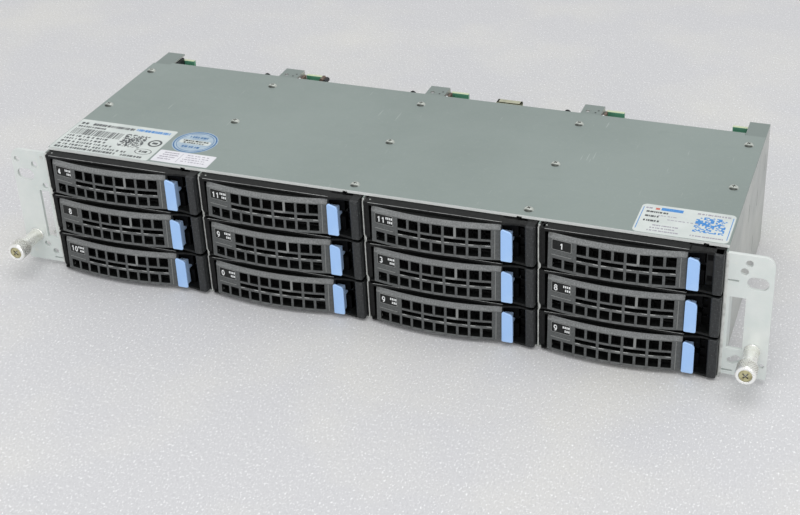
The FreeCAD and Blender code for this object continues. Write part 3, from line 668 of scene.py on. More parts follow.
# each digit's strokes in a cell one unit wide and one high, as (points, whether they loop)
DIGITS = {
    "0": [(oval(0.5, 0.5, 0.4, 0.46), True)],
    "1": [([(0.58, 1.0), (0.58, 0.0)], False), ([(0.2, 0.72), (0.52, 0.93)], False)],
    "3": [(oval(0.42, 0.74, 0.38, 0.23, -90, 150), False),
          (oval(0.42, 0.27, 0.42, 0.25, -150, 90), False)],
    "4": [([(0.7, 1.0), (0.7, 0.0)], False), ([(0.62, 0.94), (0.06, 0.32)], False),
          ([(0.0, 0.27), (1.0, 0.27)], False)],
    "8": [(oval(0.5, 0.74, 0.34, 0.22), True), (oval(0.5, 0.27, 0.41, 0.26), True)],
    "9": [(oval(0.5, 0.68, 0.4, 0.3), True),
          ([(0.9, 0.7), (0.84, 0.38), (0.66, 0.12), (0.3, 0.02)], False)],
}
DIGIT_WIDTH, DIGIT_HEIGHT, DIGIT_STROKE, DIGIT_GAP = 2.0, 3.5, 0.62, 0.85
DASH_HEIGHT, DASH_GAP = 1.4, 0.42


def number_mesh(text, plain):
    """The printed number, with two rows of small dashes beside it unless it is plain."""
    piece = Piece()
    left, right, low, high = PLATE
    whole = len(text) * (DIGIT_WIDTH + DIGIT_GAP) - DIGIT_GAP
    x = (left + right - whole) / 2 if plain else left + 1.4
    z = low + 0.95
    for digit in text:
        for points, loop in DIGITS[digit]:
            placed = [(x + DIGIT_WIDTH * a, z + DIGIT_HEIGHT * b) for a, b in points]
            piece.add(follow_lever(ribbon(placed, DIGIT_STROKE, loop), 0.2, 0.06))
        x += DIGIT_WIDTH + DIGIT_GAP
    dash_rows = ((high - 0.9, (0.8, 0.7, 0.8, 0.7)), (high - 3.3, (0.7, 0.8, 0.7)))
    for top, widths in () if plain else dash_rows:
        x = right - 0.1
        for width in widths:
            dash = rectangle(x - width, x, top - DASH_HEIGHT, top)
            piece.add(laid_on_lever(dash, 0.2, 0.05))
            x -= width + DASH_GAP
    return piece.finish("number", "number_paint")


# ---- latch ---------------------------------------------------------------------------

def latch_mesh():
    """A blue button with a rounded, sloping top, on a stem whose key runs in the bezel."""
    left, right, low, high = 86.4, 93.4, 2.3, 23.2
    outline = [(left + 0.8, low), *arc((right - 1.0, low + 1.0), 1.0, -90, 0, 4),
               *arc((right - 2.8, high - 3.6), 2.8, 0, 66, 7),
               *arc((left + 1.5, high - 1.3), 1.3, 80, 180, 6),
               *arc((left + 0.8, low + 0.8), 0.8, 180, 270, 4)[:-1]]
    stem = (left + 0.4, right - 1.6), (-5.2, 1.2), (low + 0.6, high - 3.6)
    key = (88.6, 91.6), (0.8, 5.0), (12.0, 15.0)
    piece = Piece()
    piece.add(prism(outline, -6.2, -4.9, "y"), 0.4, segments=3, angle=40)
    piece.add(box(*stem), 0.3)
    piece.add(box(*key), 0.3)
    return piece.finish("latch", "latch_blue")


# ---- carrier -------------------------------------------------------------------------

BEZEL_LEFT, BEZEL_RIGHT = 1.2, 106.3
BEZEL_FLOOR, BEZEL_TOP = 0.6, 26.9
KINK, KINK_HEIGHT = 1.2, 2.6
KEY_SLOT = (11.7, 15.3)
SHELL, PIN, SHUTTER, INSIDE, GRIP, EDGE_HIGHLIGHT = range(6)


def bezel_outline(left, right):
    """The bezel from the front, its left corners cut back where the divider's edge swells."""
    return [(left + KINK, BEZEL_FLOOR), (right, BEZEL_FLOOR), (right, BEZEL_TOP),
            (left + KINK, BEZEL_TOP), (left, BEZEL_TOP - KINK_HEIGHT),
            (left, BEZEL_FLOOR + KINK_HEIGHT)]


# outlines seen from above
HOOD = [(86.4, 1.8), (86.4, -4.3), (87.3, -4.8), (89.5, -4.2), (92.5, -3.4), (95.9, -2.9),
        (99.0, -3.0), (101.5, -3.6), (103.5, -4.0), (105.2, -4.0), (106.0, -3.3),
        (BEZEL_RIGHT, 1.8)]
END_BLOCK = [(100.5, 2.0), *arc((102.2, -3.5), 1.7, 180, 265, 6),
             *arc((104.6, -3.6), 1.6, -80, 0, 6), (106.2, 2.0)]
HINGE_LUG = [(1.9, -1.2), (2.6, -3.2), (3.4, -3.6), (9.3, -3.6), (9.3, 2.0), (1.9, 2.0)]
LATCH_SILL = [(86.9, 7.0), (86.9, -2.6), (94.0, -3.4), (101.2, -4.6), (101.2, 7.0)]


def bezel_mesh(shuttered):
    piece = Piece()
    whole = (BEZEL_FLOOR, BEZEL_TOP)
    slot_low, slot_high = KEY_SLOT

    def block(x, y, z, bevel, material=SHELL):
        piece.add(box(x, y, z), bevel, material)

    # pieces marked INSIDE are near black, as painted shade deep in the bezel
    # the plate behind the lever, framed by rails, with upright bars and one across
    piece.add(prism(bezel_outline(BEZEL_LEFT, 86.0), 5.2, 8.0, "y"), 0.3, INSIDE)
    for z in ((BEZEL_FLOOR, 3.2), (24.3, BEZEL_TOP)):
        block((3.6, 86.5), (1.6, 6.0), z, 0.2)
    for k in range(11):
        bar = 8.4 + GRILLE_PITCH * k
        block((bar, bar + 1.2), (2.4, 6.0), (3.0, 24.5), 0.15, INSIDE)
    block((4.2, 86.0), (2.4, 6.0), (13.0, 14.4), 0.15, INSIDE)
    # hinge jamb and lug
    piece.add(prism(bezel_outline(BEZEL_LEFT, 4.4), -2.0, 7.0, "y"), 0.35)
    piece.add(prism(HINGE_LUG, 0.6, 1.75), 0.15)
    # brow over the lever, and a painted highlight line along its front edge
    block((1.9, 87.4), (-3.2, 2.0), (24.95, BEZEL_TOP), 0.12)
    block((4.4, 86.8), (-3.26, -3.1), (26.66, BEZEL_TOP - 0.02), 0.04, EDGE_HIGHLIGHT)
    # the wall behind the latch, open where its key slides
    for z in ((BEZEL_FLOOR, slot_low), (slot_high, BEZEL_TOP)):
        block((85.4, 95.0), (1.8, 7.8), z, 0.2, INSIDE)
    block((85.4, 88.2), (1.9, 7.7), (slot_low - 0.3, slot_high + 0.3), 0, INSIDE)
    # the finger recess's back and side, hood, sill, end block and its flange
    block((94.8, 100.6), (5.8, 7.9), whole, 0.2, INSIDE)
    for z in ((1.0, slot_low), (slot_high, 26.0)):
        block((94.2, 95.0), (1.6, 7.0), z, 0.15, INSIDE)
    piece.add(prism(HOOD, 25.5, BEZEL_TOP), 0.35)
    piece.add(prism(LATCH_SILL, BEZEL_FLOOR, 2.1), 0.35)
    piece.add(prism(END_BLOCK, *whole), 0.8, GRIP, segments=3, angle=40)
    block((100.4, BEZEL_RIGHT), (0.6, 8.0), whole, 0.35)
    # ribs in the finger recess
    for height in (7.5, 13.4, 19.3):
        block((95.3, 97.6), (3.8, 6.2), (height, height + 0.9), 0.2, INSIDE)
    if shuttered:
        block((95.6, 100.4), (2.2, 6.2), (2.0, 25.6), 0.2, SHUTTER)
        for height in (5.0, 18.4):
            block((96.4, 99.4), (1.9, 2.6), (height, height + 3.4), 0.2, INSIDE)
    # a pin's dome on the brow, and the pin that the lever turns on
    dome = lathe([(0, -0.5), (0.55, -0.42), (0.8, -0.15), (0.8, 1.0), (0, 1.0)], 16)
    piece.add(dome, material=PIN, move=(4.6, 0.6, 26.5), turn=FACE_UP)
    pin = lathe([(0, 0.0), (0.8, 0.0), (0.8, 2.6), (0, 2.6)], 16)
    piece.add(pin, material=PIN, move=(*PIVOT, 0.7), turn=FACE_UP.transposed())
    return piece.finish("bezel", "bezel_plastic", "screw_nickel", "dark_plastic",
                        "interior_painted_shade", "grip_plastic", "highlight_plastic")


def tray_mesh():
    """Two side arms that hold the drive, each with pads and drive screws."""
    piece = Piece()
    gauge = 1.0
    profile = [(8.0, 0.5), (140.0, 0.5), (140.0, 12.0), (134.0, 21.0), (8.0, 21.0)]
    for left, outward in ((1.85, -1), (104.65, 1)):
        outer, inner = (left - 0.02, left + gauge) if outward < 0 else (left + 1.02, left)
        piece.add(prism(profile, left, left + gauge, "x"), 0.2)
        turn = Matrix.Rotation(-outward * math.pi / 2, 3, "Z")
        for y in (30.0, 74.0, 118.0):
            head = lathe([(0, -0.35), (2.2, -0.3), (2.6, 0), (2.6, 0.2), (0, 0.2)], 20)
            piece.add(head, material=1, move=(outer + 0.15 * -outward, y, 7.0), turn=turn)
        for y in (48.0, 92.0):
            pad = rectangle(y, y + 16.0, 4.0, 16.0)
            piece.add(prism(pad, inner - 0.12, inner + 0.12, "x"), 0.1)
    return piece.finish("tray", "drive_metal", "screw_nickel")


# ---- screws --------------------------------------------------------------------------

def cross_cutter(arm, width, depth, face):
    """A tapered cross that points along +Y from a screw's face."""
    cutter = Piece()
    for a, b in ((arm, width), (width, arm)):
        cutter.add(prism(rectangle(-a, a, -b, b), -0.5, depth, "y", taper=0.45),
                   move=(0, face, 0))
    return cutter.mesh


def carved(solid, cutter):
    """One solid with another cut out of it, both in millimetres."""
    things = []
    for name, part in (("blank", solid), ("cutter", cutter)):
        mesh = bpy.data.meshes.new(name)
        part.to_mesh(mesh)
        part.free()
        things.append(put(name, mesh))
    blank, tool = things
    cut = blank.modifiers.new("cut", "BOOLEAN")
    cut.operation = "DIFFERENCE"
    cut.solver = "EXACT"
    cut.use_self = True
    cut.object = tool
    bpy.context.view_layer.update()
    result = bmesh.new()
    result.from_mesh(blank.evaluated_get(bpy.context.evaluated_depsgraph_get()).data)
    for thing in things:
        discard(thing)
    return result


def screw_head(height, shank_length):
    """A pan head with a cross recess, its crown towards -Y, and its shank."""
    radius, shank = 3.0, 1.5
    crown = [(0, 1), (0.3, 0.98), (0.55, 0.88), (0.75, 0.68), (0.9, 0.4)]
    profile = [*((radius * r, -height * y) for r, y in crown), (radius, 0), (shank, 0),
               (shank, shank_length), (0, shank_length)]
    cutter = cross_cutter(radius * 0.55, radius * 0.13, height * 0.75, -height)
    return carved(lathe(profile, 28), cutter)


SCREW_ROWS_Y = (11.0, 69.0, 126.0)
SCREW_COLUMNS_X = (-209.4, -116.5, -9.0, 98.5, 206.5)
FRONT_SCREWS_X = (-9.0, 98.5)
BOARD_SCREWS_X = (-126.0, -62.0, -21.5, 83.0, 187.4)
BOARD_SCREWS_Z = (73.0, 6.0)


def screws(name, look, places, base, height, shank_length, seed):
    """Screws whose crosses stand at random turns."""
    turns = random.Random(seed)
    piece = Piece()
    for place in places:
        turn = base @ Matrix.Rotation(turns.uniform(0, math.pi), 3, "Y")
        piece.add(screw_head(height, shank_length), move=place, turn=turn)
    return piece.finish(name, look)


def cover_screws():
    places = [(x, y, COVER_TOP) for x in SCREW_COLUMNS_X for y in SCREW_ROWS_Y
              if y != SCREW_ROWS_Y[0] or x in FRONT_SCREWS_X]
    return screws("cover_screws", "screw_dull_front_shaded", places, FACE_UP, 1.55, 2.5, 4)


def board_screws():
    places = [(x, BOARD_BACK, z) for x in BOARD_SCREWS_X for z in BOARD_SCREWS_Z]
    to_rear = Matrix.Rotation(math.pi, 3, "Z")
    return screws("board_screws", "screw_nickel", places, to_rear, 2.1, 2.0, 5)


# ---- captive thumbscrews -------------------------------------------------------------

KNOB_FRONT, SKIRT_BACK = -25.0, -15.5
KNOB_RADIUS = 6.0
TEETH, GROOVE_DEPTH = 28, 0.3
AROUND, ALONG = TEETH * 6, 30


def knurled_sleeve(low, high):
    """The knob's outside as rings, with two families of slanting grooves crossing in diamonds."""
    twist = TEETH * 0.55 * (high - low) / KNOB_RADIUS

    def groove(turn, t, sign):
        wave = abs(math.sin((TEETH * turn + sign * twist * t) / 2))
        return max(0.0, 1 - wave * 2.0)

    for k in range(ALONG + 1):
        t = k / ALONG
        fade = min(1, 8 * t, 8 * (1 - t))
        ring = []
        for turn in (math.tau * i / AROUND for i in range(AROUND)):
            cut = max(groove(turn, t, 1), groove(turn, t, -1))
            radius = KNOB_RADIUS - GROOVE_DEPTH * cut * fade
            ring.append((radius, low + (high - low) * t, turn))
        yield ring


def knob_solid():
    """The turned knob: a chamfered rim, a recessed face, knurling and a hollow skirt."""
    front, back = KNOB_FRONT, SKIRT_BACK
    rim = ((3.9, front + 0.8), (3.9, front + 0.12), (4.05, front), (5.2, front),
           (5.75, front + 0.45), (5.85, front + 1.0))
    skirt = ((5.8, back - 0.3), (5.5, back), (4.75, back), (4.55, back - 0.3),
             (4.55, front + 1.5))

    def plain(profile):
        return [[(r, y, math.tau * i / AROUND) for i in range(AROUND)] for r, y in profile]

    solid = bmesh.new()
    rings = [[solid.verts.new((r * math.cos(a), y, r * math.sin(a))) for r, y, a in ring]
             for ring in (*plain(rim), *knurled_sleeve(front + 1.3, back - 0.7), *plain(skirt))]
    skin(solid, rings)
    solid.faces.new(rings[0])
    solid.faces.new(rings[-1])
    return closed(solid)


def thumbscrew_mesh():
    """The knob, its screw disc and its shank, about the screw's axis."""
    piece = Piece()
    piece.add(knob_solid())
    face, bottom, arm = -24.75, -24.0, 2.9
    disc = carved(lathe([(0, face), (3.3, -24.7), (3.75, -24.45), (3.85, bottom), (0, bottom)],
                        40), cross_cutter(arm, 0.62, 0.6, face))
    # faces down in the cross are painted darker as shade
    for side in disc.faces:
        middle = side.calc_center_median()
        recessed = (math.hypot(middle.x, middle.z) < arm
                    and face + 0.07 < middle.y < bottom - 0.02)
        side.material_index = 2 if recessed else 1
    piece.add(disc, material=None, turn=Matrix.Rotation(math.radians(40), 3, "Y"))
    # a shank that ends in thread
    crest, root, y = 2.4, 1.95, -3.0
    shank = [(0, -23.6), (crest, -23.6), (crest, y)]
    while y < 0.9:
        shank += [(crest, y + 0.1), (root, y + 0.35), (crest, y + 0.6)]
        y += 0.7
    piece.add(lathe(shank + [(1.8, 1.4), (0, 1.5)], 32))
    return piece.finish("thumbscrew", "thumbscrew_metal", "screw_yellow", "recess_painted_shade")


def ferrule_mesh():
    """The sleeve pressed into the ear: a small foot, a rolled lip and a bore for the spring."""
    profile = [(2.6, 0.0), (3.3, 0.0), (3.3, -0.2), (4.6, -0.25), (4.7, -0.5), (4.4, -0.8),
               (4.35, -1.2), (4.35, -16.6), (4.15, -17.0), (3.9, -17.0), (3.8, -16.7),
               (3.8, -1.6), (2.6, -1.5)]
    piece = Piece()
    piece.add(tube(profile, 48))
    return piece.finish("ferrule", "thumbscrew_metal")


# ---- labels --------------------------------------------------------------------------

INKS = ("label_paper", "ink_black", "ink_blue", "ink_red", "seal_paper", "ink_navy",
        "fresh_paper", "ink_faint")
PAPER, BLACK, BLUE, RED, SEAL, NAVY, FRESH, FAINT = range(8)
RING_STEPS = 36


class Label:
    """A sticker on the cover: paper, then printed marks a hair above it."""

    def __init__(self, outline, paper=PAPER):
        self.piece = Piece()
        self.piece.add(prism(outline, COVER_TOP - 0.02, COVER_TOP + 0.1), material=paper)

    def shape(self, outline, ink):
        low = COVER_TOP + 0.1
        self.piece.add(prism(outline, low - 0.01, low + 0.03), material=ink)

    def mark(self, x, y, width, height, ink):
        self.shape(rectangle(x, x + width, y, y + height), ink)

    def dashes(self, x, y, length, height, ink, seed, gap=0.5):
        """A line of short dashes in place of a line of print."""
        marks = random.Random(seed)
        at = x
        while at < x + length - 1.0:
            width = min(marks.choice((0.7, 1.0, 1.4, 1.9)), x + length - at)
            self.mark(at, y, width, height, ink)
            at += width + marks.choice((gap, gap, gap * 2.2))

    def bars(self, x, y, length, height, ink, seed):
        marks = random.Random(seed)
        at = x
        while at < x + length:
            width = marks.choice((0.4, 0.7, 1.1))
            self.mark(at, y, width, height, ink)
            at += width + marks.choice((0.5, 0.8, 1.1))

    def mosaic(self, x, y, size, cells, ink, seed):
        """A square of random cells."""
        marks = random.Random(seed)
        pitch = size / cells
        for i in range(cells):
            for k in range(cells):
                if marks.random() < 0.5:
                    self.mark(x + i * pitch, y + k * pitch, pitch, pitch, ink)

    def ring(self, x, y, radius, width, ink, squeeze=1.0):
        """A printed circle or oval."""
        solid = bmesh.new()
        low = COVER_TOP + 0.09
        turns = [math.tau * k / RING_STEPS for k in range(RING_STEPS)]
        rows = [[solid.verts.new((x + r * math.cos(t), y + r * squeeze * math.sin(t), z))
                 for t in turns] for z in (low, low + 0.05) for r in (radius, radius - width)]
        for a, b in ((0, 1), (1, 3), (3, 2), (2, 0)):
            for k in range(RING_STEPS):
                solid.faces.new((rows[a][k - 1], rows[a][k], rows[b][k], rows[b][k - 1]))
        self.piece.add(closed(solid), material=ink)

    def finish(self, name):
        return self.piece.finish(name, *INKS)


def big_label():
    left, right, low, high = -214.6, -145.0, 4.1, 45.4
    margin = left + 2.5
    label = Label(rounded_rectangle(left, right, low, high, 1.2, 3))
    label.dashes(margin, high - 6.6, 6, 2.6, BLACK, 11, 0.4)
    label.dashes(left + 11, high - 6.8, 31, 3.0, BLACK, 12, 0.4)
    label.dashes(right - 27, high - 6.4, 25, 3.0, BLUE, 14, 0.3)
    label.dashes(margin, high - 10.6, 20, 2.0, BLACK, 13, 0.4)
    label.bars(margin, high - 20.5, 35, 8.2, BLACK, 31)
    label.mosaic(right - 30.0, high - 28.0, 16.5, 21, BLACK, 33)
    label.ring(right - 6.4, high - 19.0, 4.6, 1.3, BLACK)
    label.mark(right - 8.2, high - 20.2, 3.6, 2.4, BLACK)
    label.ring(right - 8.2, low + 10.2, 5.8, 0.6, BLACK, 0.62)
    label.dashes(right - 11.0, low + 9.0, 5.6, 2.4, BLACK, 34, 0.3)
    for n, length in enumerate((50, 36, 30, 30)):
        label.dashes(margin, low + 5.6 + 3.9 * n, length, 2.1, BLACK, 40 + n, 0.8)
    label.dashes(margin, low + 1.6, 44, 2.4, BLACK, 50, 0.5)
    label.dashes(right - 20, low + 1.6, 15, 2.2, BLACK, 51, 0.35)
    return label.finish("big_label")


def white_label():
    left, right, low, high = -143.6, -104.8, 5.6, 20.3
    label = Label(rounded_rectangle(left, right, low, high, 1.0, 3), paper=FRESH)
    for n, (start, length) in enumerate(((4, 10), (4, 11), (3, 12), (3, 9))):
        line = high - 3.2 - 2.7 * n
        label.dashes(left + start, line, length, 1.1, FAINT, 61 + n, 0.3)
        label.dashes(left + start + 16, line, 16, 0.8, FAINT, 65 + n, 0.6)
    label.mark(left + 16.4, low + 1.6, 0.3, high - low - 3.2, FAINT)
    return label.finish("white_label")


def round_seal():
    x, y, radius = -127.6, 34.9, 14.6
    label = Label(circle((x, y), radius, 64), paper=SEAL)
    label.ring(x, y, radius - 0.6, 0.9, NAVY)
    label.ring(x, y, radius - 2.6, 0.35, NAVY)
    label.shape(rounded_rectangle(x - 10.6, x + 10.6, y - 2.6, y + 2.6, 2.0), PAPER)
    for n, half in enumerate((8.6, 7.4)):
        label.dashes(x - half, y + 0.4 - 2.6 * n, 2 * half, 1.5, BLUE, 70 + n)
    label.dashes(x - 6.5, y + 5.4, 13.0, 2.2, NAVY, 72)
    label.dashes(x - 6.0, y - 7.6, 12.0, 2.2, NAVY, 73)
    return label.finish("round_seal")


def side_label():
    left, right, low, high = 159.8, 213.9, 4.4, 36.5
    label = Label(rounded_rectangle(left, right, low, high, 3.0, 5))
    inset, line = 1.1, 0.45
    for x in (left + inset, right - inset - line):
        label.mark(x, low + 3.5, line, high - low - 7.0, BLUE)
    label.dashes(left + 2.6, high - 5.0, 5.0, 1.6, FAINT, 80, 0.4)
    label.mark(left + 8.2, high - 5.4, 2.4, 2.2, RED)
    label.mark(left + 11.5, high - 5.6, 12.6, 3.2, BLUE)
    label.dashes(left + 3.6, high - 9.2, 12.5, 1.8, BLACK, 81, 0.3)
    label.dashes(left + 11.0, high - 12.0, 11, 0.8, FAINT, 82)
    label.dashes(left + 3.8, high - 14.2, 9.0, 1.9, BLACK, 83, 0.3)
    label.dashes(left + 17.0, high - 15.6, 18.0, 0.8, FAINT, 84)
    label.dashes(left + 3.8, high - 19.4, 9.0, 2.0, BLACK, 85, 0.3)
    for n, length in enumerate((18, 14, 15)):
        label.dashes(left + 8.0 + n, low + 2.6 + 3.0 * n, length, 1.2, FAINT, 86 + n, 0.3)
    label.mosaic(192.4, 12.6, 17.4, 17, BLUE, 90)
    label.dashes(192.0, 7.4, 19, 1.2, FAINT, 91, 0.3)
    label.dashes(192.0, 32.2, 19, 1.5, FAINT, 92, 0.3)
    return label.finish("side_label")


# ---- dividers' front edges -----------------------------------------------------------

def divider_edge(x, bulge):
    """A folded front edge, with a swelling between every two bays."""
    half_gauge = 0.4
    heights = [(FLOOR_GAUGE, 0.0)]
    for row in range(1, ROWS + 1):
        z = FLOOR_GAUGE + row * ROW_PITCH
        heights.append((z - KINK_HEIGHT, 0.0))
        if row < ROWS:
            heights += [(z - 1.1, bulge), (z + 1.1, bulge), (z + KINK_HEIGHT, 0.0)]
        else:
            heights.append((z - 1.0, bulge * 0.8))
    left = [(x - half_gauge + out, z) for z, out in heights]
    right = [(x + half_gauge + out, z) for z, out in reversed(heights)]
    return prism(left + right, -0.7, 0.3, "y")


def divider_edges():
    """The dividers' front edges, two tabs of the side wall that reach through the left ear's
    fold, and the side walls' own front edges."""
    piece = Piece()
    for low in (24.6, 78.6):
        piece.add(box((-219.4, -217.9), (-0.5, 0.2), (low, low + 2.2)), 0.1)
    for side in (-1, 1):
        piece.add(box(sorted((side * 214.4, side * 215.9)), (-0.25, 0.5), (3.2, 83.2)), 0.1)
    for n in range(1, COLUMNS):
        piece.add(divider_edge(divider_x(n), 1.0), 0.12)
    return piece.finish("divider_edges", "bright_edge")


# ---- backplane fittings --------------------------------------------------------------

def four_walls(piece, x, y, z, wall, material=0):
    """The walls of a connector body that is open in front."""
    for zs in ((z[0], z[0] + wall), (z[1] - wall, z[1])):
        piece.add(box(x, y, zs), 0.2, material)
    for xs in ((x[0], x[0] + wall), (x[1] - wall, x[1])):
        piece.add(box(xs, y, z), 0.2, material)


def drive_sockets():
    """Twelve sockets, each a shroud round a row of contacts, facing its drive."""
    piece = Piece()
    contacts = 22
    for column, row in BAYS:
        corner = bay_corner(column, row)
        low, high = corner + Vector((52.8, 150.6, 11.8)), corner + Vector((97.2, 158.5, 19.2))
        x, z, front, back = (low.x, high.x), (low.z, high.z), low.y, high.y
        piece.add(box(x, (front + 3.5, back), z), 0.2)
        four_walls(piece, x, (front, back - 1), z, 1.1)
        middle = (z[0] + z[1]) / 2
        piece.add(box((x[0] + 3, x[1] - 3), (front + 0.8, back - 1),
                      (middle - 0.6, middle + 0.6)), 0.1)
        for k in range(contacts):
            at = x[0] + 4 + (x[1] - x[0] - 8.8) * k / (contacts - 1)
            piece.add(box((at, at + 0.7), (front + 1.2, back - 2),
                          (middle + 0.55, middle + 0.75)), material=1)
    return piece.finish("drive_sockets", "connector_black", "contact_gold")


def rear_connectors():
    """The tall tan connector, three data plugs and two power plugs on the rear of the board."""
    piece = Piece()
    tan, black, gold, white = range(4)
    back = BOARD_BACK

    def body(x, depth, z, wall, material):
        piece.add(box(x, (back, back + 1.5), z), material=material)
        four_walls(piece, x, (back, back + depth), z, wall, material)

    body((31.8, 49.0), 6, (42, 77), 1.4, tan)
    for row in range(2):
        for k in range(12):
            x, z = 36.8 + 6.0 * row, 45.6 + 2.5 * k
            piece.add(box((x, x + 0.9), (back + 1, back + 5), (z, z + 0.9)), 0.1, gold)
    for left in (-165, -57, 158):
        body((left, left + 20), 9, (42, 56), 1.2, black)
        piece.add(box((left + 3, left + 17), (back + 1, back + 6.5), (48.4, 49.6)), 0.1,
                  material=black)
        for k in range(14):
            x = left + 3.6 + 0.93 * k
            piece.add(box((x, x + 0.5), (back + 1, back + 6), (49.55, 49.7)), material=gold)
    for left in (-166, 158):
        body((left, left + 22), 8, (10, 21), 1.1, white)
        for k in range(4):
            pin = lathe([(0, 1.0), (0.8, 1.0), (0.8, 6.0), (0.5, 6.6), (0, 6.7)], 14)
            piece.add(pin, material=gold, move=(left + 4.2 + 4.5 * k, back, 15.5))
    return piece.finish("rear_connectors", "connector_tan", "connector_black", "contact_gold",
                        "number_paint")


def edge_parts():
    """Clips, hooks and cable ends that stand between the cover's rear edge and the board."""
    piece = Piece()
    black, brown, white = range(3)
    piece.add(box((-211.0, -201.2), (147.0, 158.3), (60.0, 83.6)), 0.5)
    for n in range(1, COLUMNS):
        x = divider_x(n)
        hook = tube([(1.2, -0.5), (2.2, -0.5), (2.2, 0.5), (1.2, 0.5)], 24)
        piece.add(hook, move=(x - 21.5, 144.2, 84.0))
        piece.add(box((x + 0.9, x + 2.8), (147.0, 155.5), (72.0, 83.0)), 0.3, brown)
        piece.add(box((x + 1.4, x + 2.6), (144.6, 146.6), (74.0, 84.6)), 0.3, white)
        # holes in the divider's tab, drawn as dark discs of painted shade
        for hole in ((x - 2.2, 150.5), (x - 3.6, 147.2)):
            piece.add(prism(circle(hole, 0.65, 14), 84.9, 85.05))
    for x, height, material in ((-92.0, 81.8, brown), (-89.6, 81.0, black)):
        can = lathe([(0, 0), (1.5, 0), (1.6, 0.3), (1.6, 5.7), (1.3, 6.0), (0, 6.0)], 18)
        piece.add(can, material=material, move=(x, 151.4, height))
    return piece.finish("edge_parts", "connector_black", "connector_brown", "number_paint")


def board_parts():
    """Small parts soldered on the rear of the board, clear of vents, screws and plugs."""
    chance = random.Random(12)
    piece = Piece()
    tan, black, metal = range(3)
    back, sunk = BOARD_BACK, BOARD_BACK - 0.1
    spots = [(3.0, 2.4), (8.0, 2.2), (14.0, 2.6), (20.0, 2.2), (26.0, 2.4), (40.0, 10.0),
             (40.0, 14.0)]
    sizes = ((1.6, 0.8), (2.0, 1.25), (3.2, 1.6))
    board_left, board_low = -211, 2.4
    for corner in (bay_corner(*bay) for bay in BAYS):
        for x, z in spots:
            width, height = chance.choice(sizes)
            low = corner + Vector((x + chance.uniform(-0.8, 0.8), 0, z))
            if low.x < board_left or low.z < board_low:
                continue
            piece.add(box((low.x, low.x + width), (sunk, back + 0.7), (low.z, low.z + height)),
                      0.1, material=tan)
            for x0 in (low.x - 0.05, low.x + width - 0.3):
                piece.add(box((x0, x0 + 0.35), (sunk, back + 0.75),
                              (low.z - 0.05, low.z + height + 0.05)), 0.05, metal)
    # chips with a row of legs above and below
    side = 9
    for x, z in ((-100, 30), (-12, 34), (100, 32)):
        piece.add(box((x, x + side), (sunk, back + 1.5), (z, z + side)), 0.2, black)
        for k in range(8):
            for low_z in (z - 1.1, z + side - 0.1):
                piece.add(box((x + 0.6 + k, x + 1.0 + k), (sunk, back + 0.5),
                              (low_z, low_z + 1.2)), material=metal)
    for x, z in ((-195, 30), (-90, 8), (20, 8), (128, 9)):
        can = lathe([(0, -0.1), (3.1, -0.1), (3.1, 0.5), (2.9, 0.7), (3.1, 0.9), (3.1, 4.7),
                     (2.8, 5.0), (0, 5.0)], 24)
        piece.add(can, material=metal, move=(x, back, z))
    return piece.finish("board_parts", "connector_tan", "connector_black", "screw_nickel")


# ---- drives' fittings ----------------------------------------------------------------

def drive_lid():
    """A drive's lid and blank label, from the bay's corner, a little below the drive's top."""
    piece = Piece()
    left, right, front, rear, top = 2.95, 104.55, 8.8, 155.8, 20.9
    lid = rounded_rectangle(left + 2.5, right - 2.5, front + 2.5, rear - 12, 4)
    paper = rounded_rectangle(left + 16, right - 16, front + 22, rear - 42, 1.5, 3)
    piece.add(prism(lid, top - 0.05, top + 0.25), 0.1)
    piece.add(prism(paper, top + 0.2, top + 0.3), material=1)
    for x in (left + 5.5, (left + right) / 2, right - 5.5):
        for y in (front + 5.5, rear - 15.5):
            head = lathe([(0, -0.3), (1.3, -0.3), (1.6, 0), (1.6, 0.2), (0, 0.2)], 18)
            piece.add(head, material=2, move=(x, y, top + 0.25), turn=FACE_UP)
    return piece.finish("drive_lid", "drive_metal", "label_paper", "screw_nickel")


# ---- assembly ------------------------------------------------------------------------

def add_bays():
    lever, latch, tray, lid = lever_mesh(), latch_mesh(), tray_mesh(), drive_lid()
    bezels = [bezel_mesh(False), bezel_mesh(True)]
    for column, row in BAYS:
        bay, at = f"c{column}r{row}", bay_corner(column, row)
        carrier, swing, button = f"carrier_{bay}", f"lever_{bay}", f"latch_{bay}"
        bezel = bezels[(column, row) == SHUTTERED_BAY]
        show(f"bezel_{bay}", bezel, carrier, at, replaces=carrier)
        show(f"tray_{bay}", tray, carrier, at)
        show(f"drive_lid_{bay}", lid, carrier, at)
        show(f"lever_front_{bay}", lever, swing, at, replaces=swing)
        show(f"latch_key_{bay}", latch, button, at, replaces=button)
        number = number_mesh(NUMBERS[column - 1][row - 1], (column, row) in PLAIN_NUMBERS)
        show(f"number_{bay}", number, swing, at)


def add_cage_fittings():
    show("cover_screws", cover_screws(), "cage", replaces="fasteners")
    show("board_screws", board_screws(), "cage")
    show("divider_edges", divider_edges(), "cage")
    show("drive_sockets", drive_sockets(), "cage", replaces="board_connectors")
    show("rear_connectors", rear_connectors(), "cage")
    show("board_parts", board_parts(), "cage")
    show("edge_parts", edge_parts(), "cage")
    for make in (big_label, white_label, round_seal, side_label):
        show(make.__name__, make(), "cage")


def add_thumbscrews():
    knob, sleeve = thumbscrew_mesh(), ferrule_mesh()
    for side in ("left", "right"):
        screw = f"thumbscrew_{side}"
        low, high = (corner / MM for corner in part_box(screw))
        axis = ((low.x + high.x) / 2, 0, (low.z + high.z) / 2)
        show(f"ferrule_{side}", sleeve, "cage", axis)
        show(f"knob_{side}", knob, screw, axis, replaces=screw)


# ---- stage ---------------------------------------------------------------------------

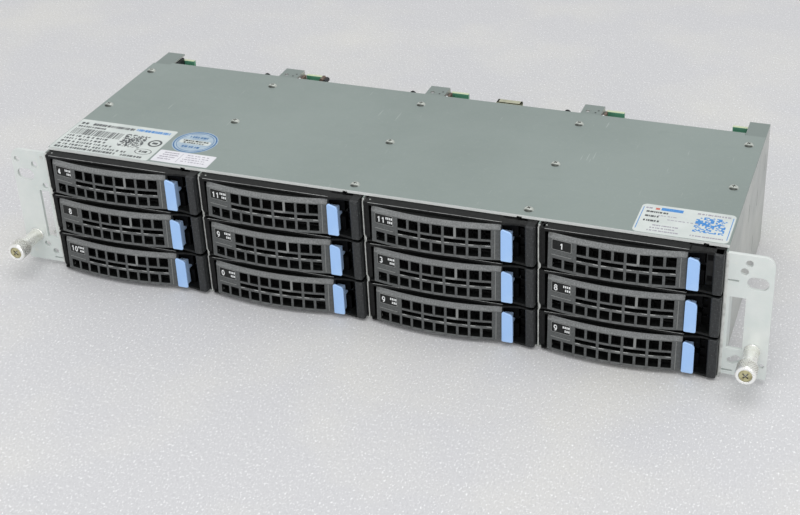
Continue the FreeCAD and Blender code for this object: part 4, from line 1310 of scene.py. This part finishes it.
CAMERA_PLACE = (0.3018, -0.6849, 0.4977)
CAMERA_AZIMUTH, CAMERA_ELEVATION, CAMERA_ROLL = 18.85, 29.46, -1.34
CAMERA_LENS, CAMERA_SHIFT = 65.35, (-0.0903, -0.0631)
FLOOR_HALF = 3.0
SKY_COLOUR, SKY_STRENGTH = (0.98, 0.99, 1.0, 1), 0.62


def add_camera():
    data = bpy.data.cameras.new("camera")
    data.sensor_width = 36
    data.lens = CAMERA_LENS
    data.shift_x, data.shift_y = CAMERA_SHIFT
    data.clip_start = 0.01
    camera = put("camera", data)
    camera.matrix_world = (Matrix.Translation(CAMERA_PLACE)
                           @ Matrix.Rotation(math.radians(CAMERA_AZIMUTH), 4, "Z")
                           @ Matrix.Rotation(math.radians(90 - CAMERA_ELEVATION), 4, "X")
                           @ Matrix.Rotation(math.radians(CAMERA_ROLL), 4, "Z"))
    bpy.context.scene.camera = camera


def add_light(name, place, aim, size, power):
    """A rectangular lamp, in metres and watts."""
    data = bpy.data.lights.new(name, "AREA")
    data.shape = "RECTANGLE"
    data.size, data.size_y = size
    data.energy = power
    light = put(name, data)
    light.location = place
    light.rotation_euler = (Vector(aim) - Vector(place)).to_track_quat("-Z", "Y").to_euler()


def add_stage():
    mesh = bpy.data.meshes.new("floor")
    corners = [(x, y, 0) for x, y in rectangle(-FLOOR_HALF, FLOOR_HALF, -FLOOR_HALF, FLOOR_HALF)]
    mesh.from_pydata(corners, [], [(0, 1, 2, 3)])
    mesh.materials.append(LOOKS["floor_paper"])
    put("floor", mesh)
    world = bpy.data.worlds.new("studio")
    world.use_nodes = True
    background = world.node_tree.nodes["Background"]
    background.inputs["Color"].default_value = SKY_COLOUR
    background.inputs["Strength"].default_value = SKY_STRENGTH
    bpy.context.scene.world = world
    add_light("key", (0.3, -0.35, 2.2), (0, 0.05, 0), (2.2, 2.2), 30)
    add_light("fill", (0.5, -2.0, 0.9), (0, 0, 0.02), (2.6, 1.2), 17)
    bpy.context.scene.view_settings.view_transform = "Standard"


dress_frame()
add_bays()
add_cage_fittings()
add_thumbscrews()
add_stage()
add_camera()
